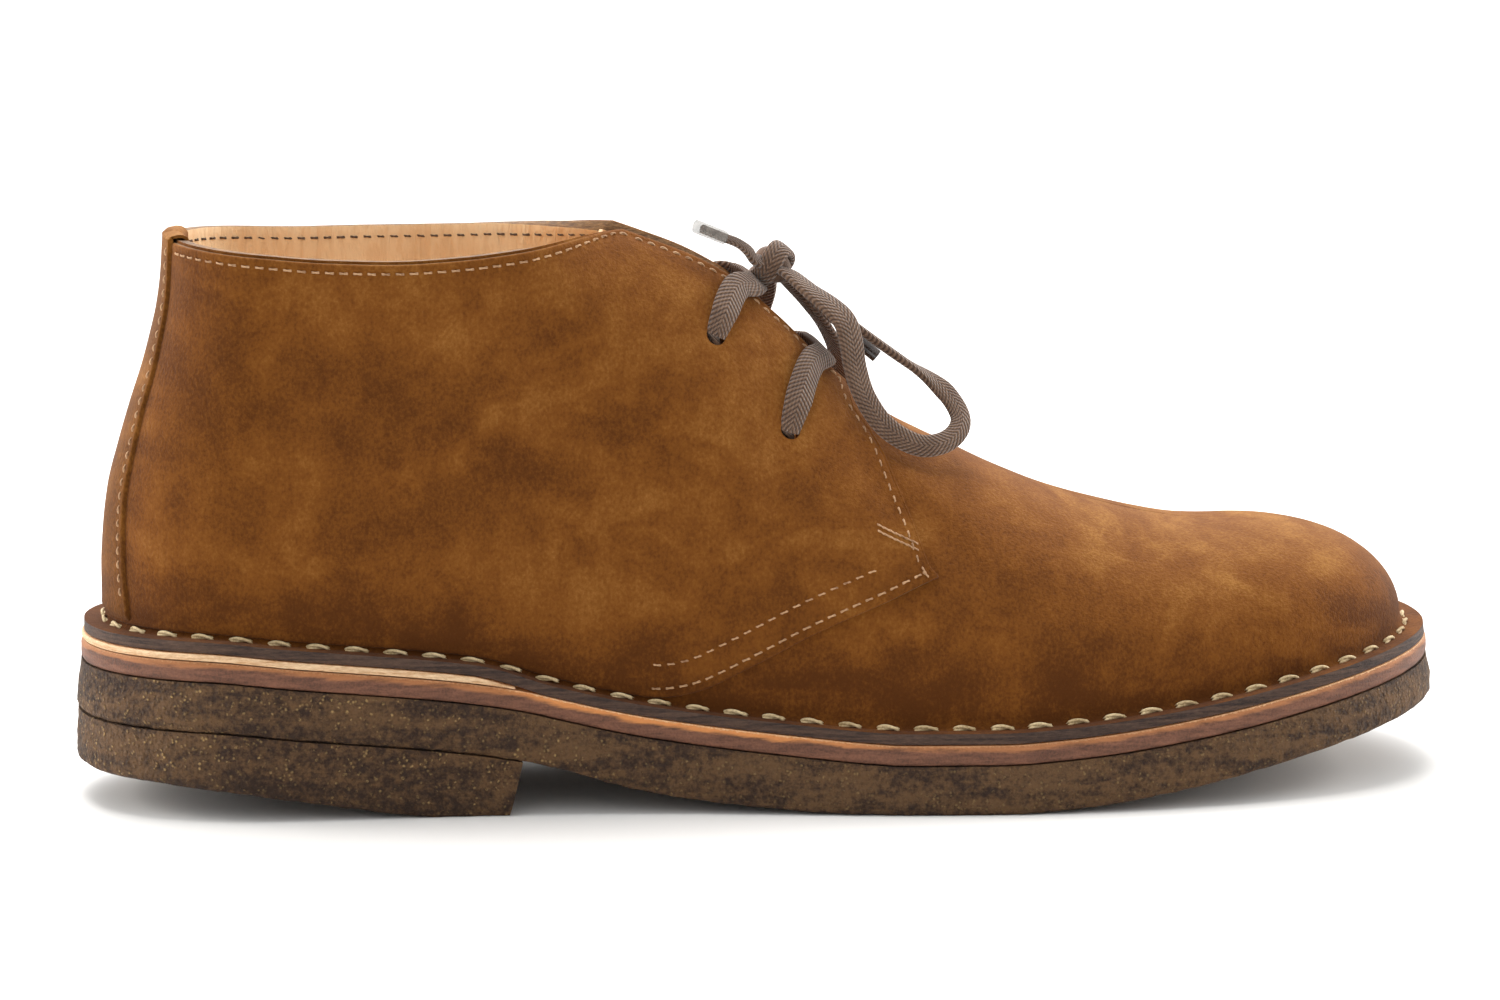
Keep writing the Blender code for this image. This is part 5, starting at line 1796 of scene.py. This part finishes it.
@dataclass
class Seams:
    """All stitching: the welt's thick thread and the upper's fine rows."""

    last: Last
    finishes: Finishes
    shell: UpperShell
    pitch: float = 3.05 * MM
    long: float = 2.2 * MM
    edge_row: float = 2.1 * MM
    second_row: float = 7.4 * MM
    collar_row: float = 2.6 * MM
    stay_row: float = 2.0 * MM
    tack: float = 4.4 * MM
    tack_pitch: float = 1.5 * MM
    welt_pitch: float = 8.5 * MM
    welt_long: float = 6.0 * MM
    welt_radius: float = 0.66 * MM
    welt_inset: float = 1.25 * MM

    def build(self) -> None:
        """Sews all rows."""
        self.welt()
        self.fine_rows()
        self.lining_row()

    def land(self, side: Side, target: Array, u: Array, h: Array) -> tuple[Array, Array]:
        """Run and height of the face's points nearest to given points.

        Args:
            side: which side.
            target: points near the face.
            u: first guess of the run along the wall.
            h: first guess of the height over the flange.

        Returns:
            Runs and heights.
        """
        last, d = self.last, 0.3 * MM
        for _ in range(8):
            miss = target - last.bare(side, u, h)
            a = (last.bare(side, u + d, h) - last.bare(side, u - d, h)) / (2 * d)
            b = (last.bare(side, u, h + d) - last.bare(side, u, h - d)) / (2 * d)
            aa, bb, ab = (a * a).sum(-1), (b * b).sum(-1), (a * b).sum(-1)
            am, bm = (a * miss).sum(-1), (b * miss).sum(-1)
            det = np.maximum(aa * bb - ab * ab, 1e-9)
            u = u + np.clip((am * bb - bm * ab) / det, -2 * MM, 2 * MM)
            h = h + np.clip((bm * aa - am * ab) / det, -2 * MM, 2 * MM)
        return u, h

    def inside(self, side: Side, u: Array, h: Array, distance: float, lift: float) -> tuple[Array, Array]:
        """Points and directions of a row inside the quarter's free edge.

        Args:
            side: which side.
            u: the edge's runs along the wall.
            h: its heights over the flange.
            distance: how far inside it.
            lift: distance out of the face.

        Returns:
            Points and outward directions.
        """
        last = self.last
        line = last.bare(side, u, h)
        out = last.outward(side, u, h)
        beside = unit(np.cross(out, np.gradient(line, axis=0))) * side.value
        u, h = self.land(side, line + beside * distance, u, h)
        return last.skin(side, u, h, lift), last.outward(side, u, h)

    def edge_line(self, side: Side) -> tuple[Array, Array]:
        """The quarter's free edge from the collar down the facing, round the corner and back to the foot."""
        last = self.last
        front = last.at_share(QUARTER_FRONT[-1, 0]) - last.centre
        start = last.at_share(0.398) - last.centre
        us = np.linspace(start, front, 160)
        top = np.stack([us, self.shell.quarter_span(side, us)[1]], 1)
        back = np.linspace(front, last.at_share(0.40) - last.centre, 120)
        foot = np.stack([back, self.shell.quarter_span(side, back)[0]], 1)
        line = resampled(np.concatenate([top, foot]), 260)
        kernel = np.ones(5) / 5
        soft = np.stack([np.convolve(np.pad(line[:, k], 2, mode="edge"), kernel, "valid") for k in (0, 1)], 1)
        return soft[:, 0], soft[:, 1]

    def row(self, points: Array, out: Array, pitch: float) -> tuple[Array, Array, Array]:
        """Places, directions and normals of stitches spaced along a line."""
        run = run_of(points)
        even = np.linspace(0, run[-1], max(3, round(run[-1] / pitch) + 1))
        ends, normal = at_runs(even, run, points), unit(at_runs(even, run, out))
        return (ends[1:] + ends[:-1]) / 2, ends[1:] - ends[:-1], unit(normal[1:] + normal[:-1])

    def on_face(
        self, side: Side, u: Array, h: Array, lift: float, pitch: float
    ) -> tuple[Array, Array, Array]:
        """Stitches spaced along a line on the upper's face."""
        return self.row(self.last.skin(side, u, h, lift), self.last.outward(side, u, h), pitch)

    def sew(
        self, name: str, rows: list[tuple[Array, Array, Array]], finish: bpy.types.Material, radius: float,
        length: float,
    ) -> None:
        """Lays all stitches of some rows as one piece.

        Args:
            name: the piece's name.
            rows: places, directions and normals of each row.
            finish: its material.
            radius: half the thread's thickness.
            length: length of one stitch.
        """
        places, ahead, out = (np.concatenate([r[k] for r in rows]) for k in range(3))
        jitter = wobble(places * 3, 2.1 * MM, 0.9)
        ahead = unit(ahead) + np.cross(out, unit(ahead)) * (0.10 * jitter)[:, None]
        scale = length * (1 + 0.10 * wobble(places, 1.7 * MM, 2.2))
        template = Bench.thread(radius)
        obj = Bench.scatter(name, template, places, ahead, out, scale)
        place_piece(obj, (), (finish,))

    def fine_rows(self) -> None:
        """Collar, facing, front, foot, bar tack and stay rows."""
        last, shell = self.last, self.shell
        lift = shell.quarter - 0.02 * MM
        rows = []
        for side in Side:
            us = np.linspace(-last.heel_arc * 0.985, last.at_share(0.396) - last.centre, 260)
            h = last.below_top(side, us, self.collar_row)
            beside_stay = us > -0.76 * last.heel_arc
            rows.append(self.on_face(side, us[beside_stay], h[beside_stay], lift, self.pitch))
            u, h = self.edge_line(side)
            rows.append(self.row(*self.inside(side, u, h, self.edge_row, lift), self.pitch))
            low = u < last.at_share(0.572) - last.centre
            foot = low & (np.arange(len(u)) > len(u) // 2)
            rows.append(self.row(*self.inside(side, u[foot], h[foot], self.second_row, lift), self.pitch))
            tack_u = last.at_share(0.578) - last.centre + np.linspace(-self.tack, self.tack, 9)
            for step in (0.0, 1.3 * MM):
                h = 0.405 * last.instep_height + step + np.linspace(2.0, -2.0, 9) * MM
                rows.append(self.on_face(side, tack_u, h, lift, self.tack_pitch))
        share = np.linspace(0.06, 0.985, 120)
        for place in (-1, 1):
            side, u = shell.stay_place(place * (1 - self.stay_row / shell.stay_half(share)), share)
            h = 0.75 * last.wall + share * (last.top(side, u) - 0.75 * last.wall)
            rows.append(self.on_face(side, u, h, lift + shell.stay, self.pitch))
        self.sew("seam_rows", rows, self.finishes.seam, 0.28 * MM, self.long)

    def lining_row(self) -> None:
        """The dark row inside, below the collar."""
        last = self.last
        rows = []
        for side in Side:
            us = np.linspace(-last.heel_arc * 0.95, last.at_share(0.395) - last.centre, 200)
            h = last.below_top(side, us, self.collar_row)
            out = last.outward(side, us, h)
            points = last.bare(side, us, h) - out * (last.wall + 0.02 * MM)
            rows.append(self.row(points, -out, self.pitch))
        self.sew("lining_seam", rows, self.finishes.dark_seam, 0.30 * MM, self.long)

    def welt(self) -> None:
        """The thick row that holds the foot of the upper to the midsole, all round."""
        last = self.last
        inset = last.feather_inset - self.welt_inset
        x = last.stations(inset, 60, 260)
        z = last.flange_top(x) + 0.35 * MM
        outer = last.edge(Side.OUTER, x, inset, z)
        inner = last.edge(Side.INNER, x, inset, z)
        ring = np.concatenate([outer, inner[::-1][1:]])
        away = np.gradient(ring, axis=0)
        flat = unit(np.cross(away, np.array([0, 0, 1.0])))
        if (flat * (ring - ring.mean(0))).sum() < 0:
            flat = -flat
        out = unit(flat * 0.55 + np.array([0, 0, 0.83]))
        row = self.row(ring, out, self.welt_pitch)
        self.sew("welt_seam", [row], self.finishes.welt, self.welt_radius, self.welt_long)


@dataclass
class Throat:
    """The tongue under the facings."""

    last: Last
    finishes: Finishes
    start: float = 121 * MM
    root: float = 187 * MM
    half: float = 17 * MM
    thick: float = 1.6 * MM
    clear: float = 0.9 * MM

    def build(self) -> None:
        """Builds the tongue with its frayed pale top edge."""
        last = self.last
        share = np.linspace(0, 1, 70)[:, None]
        half = self.half * (1 - 0.25 * share) * (1 - 0.3 * np.maximum(0.0, 1 - share * 14) ** 2)
        across = half * np.linspace(-1, 1, 41)
        ragged = wobble(np.stack([0 * across, across, 0 * across], -1), 1.6 * MM, 0.5)
        ragged = ragged * np.maximum(0.0, 1 - share * 40)
        x = last.heel_x + self.start + share * (self.root - self.start) + 0.5 * MM * ragged
        top = last.top_point(x, across)
        depth = last.wall + self.clear - 0.12 * MM * wobble(top, 9 * MM, 0.8)
        grid = top - last.top_normal(x, across) * depth[..., None]
        obj = Bench.sheet("tongue_leaf", grid, grid[..., :2] * 0 + 1)
        obj.data.materials.append(self.finishes.stay)
        obj.data.materials.append(self.finishes.lining)
        obj.data.materials.append(self.finishes.rand)
        Bench.facing(obj, np.array([0.0, 0.0, 0.0]), np.array([0.2, 0.2, 1]))
        Bench.apply(
            obj, "SOLIDIFY", thickness=self.thick, offset=-1, material_offset=1, material_offset_rim=2
        )
        Bench.soften(obj, 0.4 * MM, 50)
        Bench.smooth(obj, 45)
        place_piece(obj, ("tongue",))


@dataclass
class Laces:
    """Flat lace through two pairs of holes, tied in a small bow with tipped ends."""

    last: Last
    finishes: Finishes
    width: float = 6.6 * MM
    thick: float = 1.5 * MM
    cord_width: float = 5.4 * MM
    cord_thick: float = 2.0 * MM
    lift: float = 1.95 * MM
    sag: float = 1.4 * MM
    knot_ahead: float = 11.5 * MM
    knot_side: float = -1.5 * MM
    knot: float = 11.4 * MM
    hole_depths: tuple[float, ...] = (0.4 * MM, -1.2 * MM, -3.0 * MM)
    hole_width: float = 3.2 * MM
    narrowing: float = 11 * MM
    wrap_width: float = 5.2 * MM
    wrap_thick: float = 2.0 * MM
    wrap_high: float = 4.4 * MM
    wrap_across: float = 4.6 * MM
    core: tuple[float, float, float] = (4.6 * MM, 3.9 * MM, 3.7 * MM)
    tip_width: float = 3.1 * MM
    tip_thick: float = 2.5 * MM
    outer_tip: float = 8 * MM
    inner_tip: float = 10 * MM

    def build(self) -> None:
        """Ties the bow first, then lays the bars."""
        centre, normal = self.knot_place()
        knot = self.wrap(centre, normal)
        self.bow(centre, knot)
        for name, index, middle in (("lace_upper", 0, self.knot_ahead), ("lace_lower", 1, 10 * MM)):
            self.bar(name, index, middle)

    def knot_place(self) -> tuple[Array, Array]:
        """Middle of the knot and the direction out of the instep there."""
        x = self.last.at_share(EYELETS[0][0]) + self.knot_ahead
        seat, normal = self.last.top_point(x, self.knot_side), self.last.top_normal(x, self.knot_side)
        return seat + normal * (self.lift - self.sag + 1.3 * MM + 0.6 * MM + self.knot * 0.34), normal

    def over(self, rows: Array) -> Array:
        """Points over the instep from rows of place, distance across and height, in millimetres."""
        x, y, z = np.array(rows).T * MM
        return self.last.top_point(x, y) + self.last.top_normal(x, y) * z[:, None]

    def bar(self, name: str, index: int, middle: float) -> None:
        """A bar from hole to hole, narrow where it dives in.

        Args:
            name: node that it stands for.
            index: row of the lace holes.
            middle: how far its middle lies in front of the holes.
        """
        last = self.last
        share, height = EYELETS[index]
        x = last.at_share(share)
        reach = abs(float(last.wall_half(x, height * last.instep_height)))
        across = last.slot_half_width
        rows = [(0.0, -reach), (5 * MM, -0.6 * reach), (9 * MM, -across), (middle, 0.0)]
        rows += [(9 * MM, across), (5 * MM, 0.6 * reach), (0.0, reach)]
        table = rounded_route(np.array([(x + a, b, 0.0) for a, b in rows]), 61)
        y = table[:, 1]
        sag = self.sag * np.maximum(0.0, 1 - (y / across) ** 2)
        end = np.clip(1 - (reach - np.abs(y)) / (3.2 * MM), 0, 1)
        up = last.top_normal(table[:, 0], y)
        rise = self.lift + 0.6 * MM - sag - end**1.5 * 2.0 * MM
        points, normals = list(last.top_point(table[:, 0], y) + up * rise[:, None]), list(up)
        u, h = x - last.centre, height * last.instep_height
        tails = []
        for side in Side:
            here, out = last.bare(side, u, h), last.outward(side, u, h)
            tails.append([here + out * d for d in self.hole_depths])
        turned = [unit(np.array([1.0, 0, 0.3]))] * len(self.hole_depths)
        points, normals = tails[0][::-1] + points + tails[1], turned + normals + turned
        run = run_of(np.array(points))
        even = np.linspace(0, run[-1], 90)
        path, face = at_runs(even, run, np.array(points)), unit(at_runs(even, run, np.array(normals)))
        free = np.clip(np.minimum(even, run[-1] - even) / self.narrowing, 0, 1)
        width = self.hole_width + (self.width - self.hole_width) * free**0.8
        thick = self.thick + (1 - free) * 1.0 * MM
        obj = Bench.sweep(f"{name}_band", path, face, width, thick, squareness=3.4)
        place_piece(obj, (name,), (self.finishes.lace,))

    def wrap(self, centre: Array, normal: Array) -> bpy.types.Object:
        """The knot: a band wrapped round a bunched core.

        Args:
            centre: its middle.
            normal: direction out of the instep.

        Returns:
            The knot.
        """
        ahead = unit(np.array([0.74, -0.35, -0.67]))
        ahead = unit(ahead - normal * (ahead * normal).sum())
        beside = np.cross(normal, ahead)
        turn = np.linspace(0, 2 * math.pi, 49)[:-1]
        ring = centre + normal * (np.sin(turn) * self.wrap_high)[:, None]
        ring = ring + beside * (np.cos(turn) * self.wrap_across)[:, None]
        ring = ring + ahead * (0.7 * MM * np.sin(2 * turn + 0.6))[:, None]
        face = unit(ring - centre)
        ones = np.ones(len(ring))
        width, thick = self.wrap_width * ones, self.wrap_thick * ones
        band = Bench.sweep("lace_knot_band", ring, face, width, thick, closed=True)
        Bench.clear()
        bpy.ops.mesh.primitive_uv_sphere_add(segments=32, ring_count=18, radius=1)
        core = bpy.context.object
        v = Bench.points_of(core)
        long, wide, high = self.core
        shaped = centre + ahead * v[:, :1] * long + beside * v[:, 1:2] * wide + normal * v[:, 2:] * high
        shaped = shaped + unit(shaped - centre) * (0.5 * MM * wobble(shaped, 2.2 * MM, 0.4))[:, None]
        core.data.vertices.foreach_set("co", shaped.astype(np.float32).reshape(-1))
        Bench.smooth(core, 80)
        Bench.pick(band, core)
        bpy.ops.object.join()
        return place_piece(band, ("lace_knot",), (self.finishes.lace,))

    def band(
        self, name: str, route: Array, faces: Array, tip: float, widths: Array
    ) -> tuple[bpy.types.Object, Array]:
        """A free lace along a route with its flat face turned as given.

        Args:
            name: the piece's name.
            route: points that it passes through.
            faces: rows of share of its run and direction of its face.
            tip: length of the end that is pressed narrow for its tip.
            widths: rows of share of its run and share of its full width.

        Returns:
            The lace and its centreline.
        """
        path = rounded_route(route, 150)
        run = np.linspace(0, 1, len(path))
        face = unit(at_runs(run, faces[:, 0], faces[:, 1:]))
        end = np.clip((1 - run) * length_of(path) / tip - 0.9, 0, 1)
        width = self.cord_width * np.interp(run, widths[:, 0], widths[:, 1]) * (0.42 + 0.58 * end)
        thick = self.cord_thick * (0.9 + 0.1 * end) * (1 + 0.08 * wobble(path, 6 * MM))
        return Bench.sweep(name, path, face, width, thick, squareness=3.0), path

    def tipped(self, name: str, end: Array, length: float, finish: bpy.types.Material) -> bpy.types.Object:
        """A film tube round the end of a lace.

        Args:
            name: node that it stands for.
            end: the last two points of the lace's route.
            length: the tube's length.
            finish: its material.

        Returns:
            The tip.
        """
        ahead = unit(end[1] - end[0])
        start = end[1] + ahead * 0.3 * MM
        path = start + ahead * (np.linspace(0, 1, 14) * length)[:, None]
        ones = np.ones(len(path))
        face = ones[:, None] * np.array([0.3, -1, 0.4])
        width, thick = self.tip_width * ones, self.tip_thick * ones
        obj = Bench.sweep(f"{name}_film", path, face, width, thick, squareness=2.2)
        return place_piece(obj, (name,), (finish,))

    def bow(self, centre: Array, knot: bpy.types.Object) -> None:
        """The two laces of the bow: each is one loop and, through the knot, one tipped end.

        Args:
            centre: middle of the knot.
            knot: not used.
        """
        finishes = self.finishes
        outer, inner = np.array(LOOP_OUTER) * MM, self.over(LOOP_INNER)
        end_outer, end_inner = np.array(END_OUTER) * MM, np.array(END_INNER) * MM
        for name, end, length, finish in (
            ("lace_tip_outer", end_outer, self.outer_tip, finishes.near_tip),
            ("lace_tip_inner", end_inner, self.inner_tip, finishes.far_tip),
        ):
            self.tipped(name, end[-2:], length, finish)
        far = end_inner[-1] + unit(end_inner[-1] - end_inner[-2]) * 8 * MM
        near = end_outer[-1] + unit(end_outer[-1] - end_outer[-2]) * 6.5 * MM
        start, through = centre + np.array([[1.5, -3.0, -1.0], [1.0, 1.0, -0.5]]) * MM
        first = np.concatenate([[start], outer, [through], end_inner, [far]])
        loop, path = self.band("bow_lace_outer", first, OUTER_FACES, 14 * MM, OUTER_WIDTHS)
        place_piece(loop, ("lace_loop_outer", "lace_end_inner"), (finishes.lace,))
        start, through = centre + np.array([[0.0, 2.0, 0.5], [-0.5, -1.0, 0.0]]) * MM
        second = np.concatenate([[start], inner, [through], end_outer, [near]])
        up = self.last.top_normal(*(np.array(LOOP_INNER).T[:2] * MM))
        share = np.linspace(0.03, 0.86, len(up))
        faces = [(0.0, *up[0])] + [(s, *n) for s, n in zip(share, up)]
        faces += [(0.92, 0.3, -0.7, 0.6), (1.0, 0.3, -0.9, 0.4)]
        loop, path = self.band("bow_lace_inner", second, np.array(faces), 12 * MM, INNER_WIDTHS)
        place_piece(loop, ("lace_loop_inner", "lace_end_outer"), (finishes.lace,))


@dataclass
class Studio:
    """Pale floor, soft lights and the photo's camera."""

    place: Color = (-0.1566, -1.0888, 0.242)
    azimuth: float = 8.0
    down: float = 9.24
    lens: float = 117.24
    sky: Color = (0.93, 0.93, 0.925)
    sky_strength: float = 0.8
    floor: Color = (0.86, 0.86, 0.855)

    def camera(self) -> None:
        """The camera at the photo's angle."""
        turn, fall = math.radians(self.azimuth), math.radians(self.down)
        ahead = Vector((math.cos(fall) * math.sin(turn), math.cos(fall) * math.cos(turn), -math.sin(fall)))
        Bench.clear()
        bpy.ops.object.camera_add(location=self.place)
        camera = bpy.context.object
        camera.name = "photo_camera"
        camera.rotation_euler = ahead.to_track_quat("-Z", "Y").to_euler()
        camera.data.lens = self.lens
        camera.data.sensor_width = 36
        camera.data.clip_start = 0.01
        bpy.context.scene.camera = camera

    def light(self, name: str, place: Color, size: float, power: float, color: Color) -> bpy.types.Object:
        """A square soft light that looks at the shoe."""
        bpy.ops.object.light_add(type="AREA", location=place)
        lamp = bpy.context.object
        lamp.name = name
        lamp.data.size, lamp.data.energy, lamp.data.color = size, power, color
        lamp.rotation_euler = (Vector((0, 0, 0.05)) - Vector(place)).to_track_quat("-Z", "Y").to_euler()
        return lamp

    def build(self) -> None:
        """Floor, lights and background."""
        bpy.ops.mesh.primitive_plane_add(size=40, location=(0, 0, 0))
        floor = bpy.context.object
        floor.name = "studio_floor"
        s = Shade("studio_floor")
        color = s.mix(0.0, self.floor, self.floor)
        floor.data.materials.append(s.surface(color, 0.8, None, specular_ior_level=0.2))
        lights = [self.light(*lamp) for lamp in LAMPS]
        world = bpy.data.worlds.new("studio")
        world.use_nodes = True
        back = world.node_tree.nodes["Background"]
        back.inputs["Color"].default_value = (*self.sky, 1)
        back.inputs["Strength"].default_value = self.sky_strength
        bpy.context.scene.world = world
        bpy.context.scene.view_settings.view_transform = "Standard"


def main() -> None:
    """Builds the shoe in the frame of its solids."""
    logging.basicConfig(level=logging.INFO, format="%(message)s")
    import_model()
    Bench.clear()
    studio = Studio()
    studio.camera()
    last = Last()
    finishes = Finishes()
    Laces(last, finishes).build()
    SoleUnit(last, finishes).build()
    shell = UpperShell(last, finishes)
    shell.build()
    Seams(last, finishes, shell).build()
    Throat(last, finishes).build()
    studio.build()


if __name__ == "__main__":
    main()
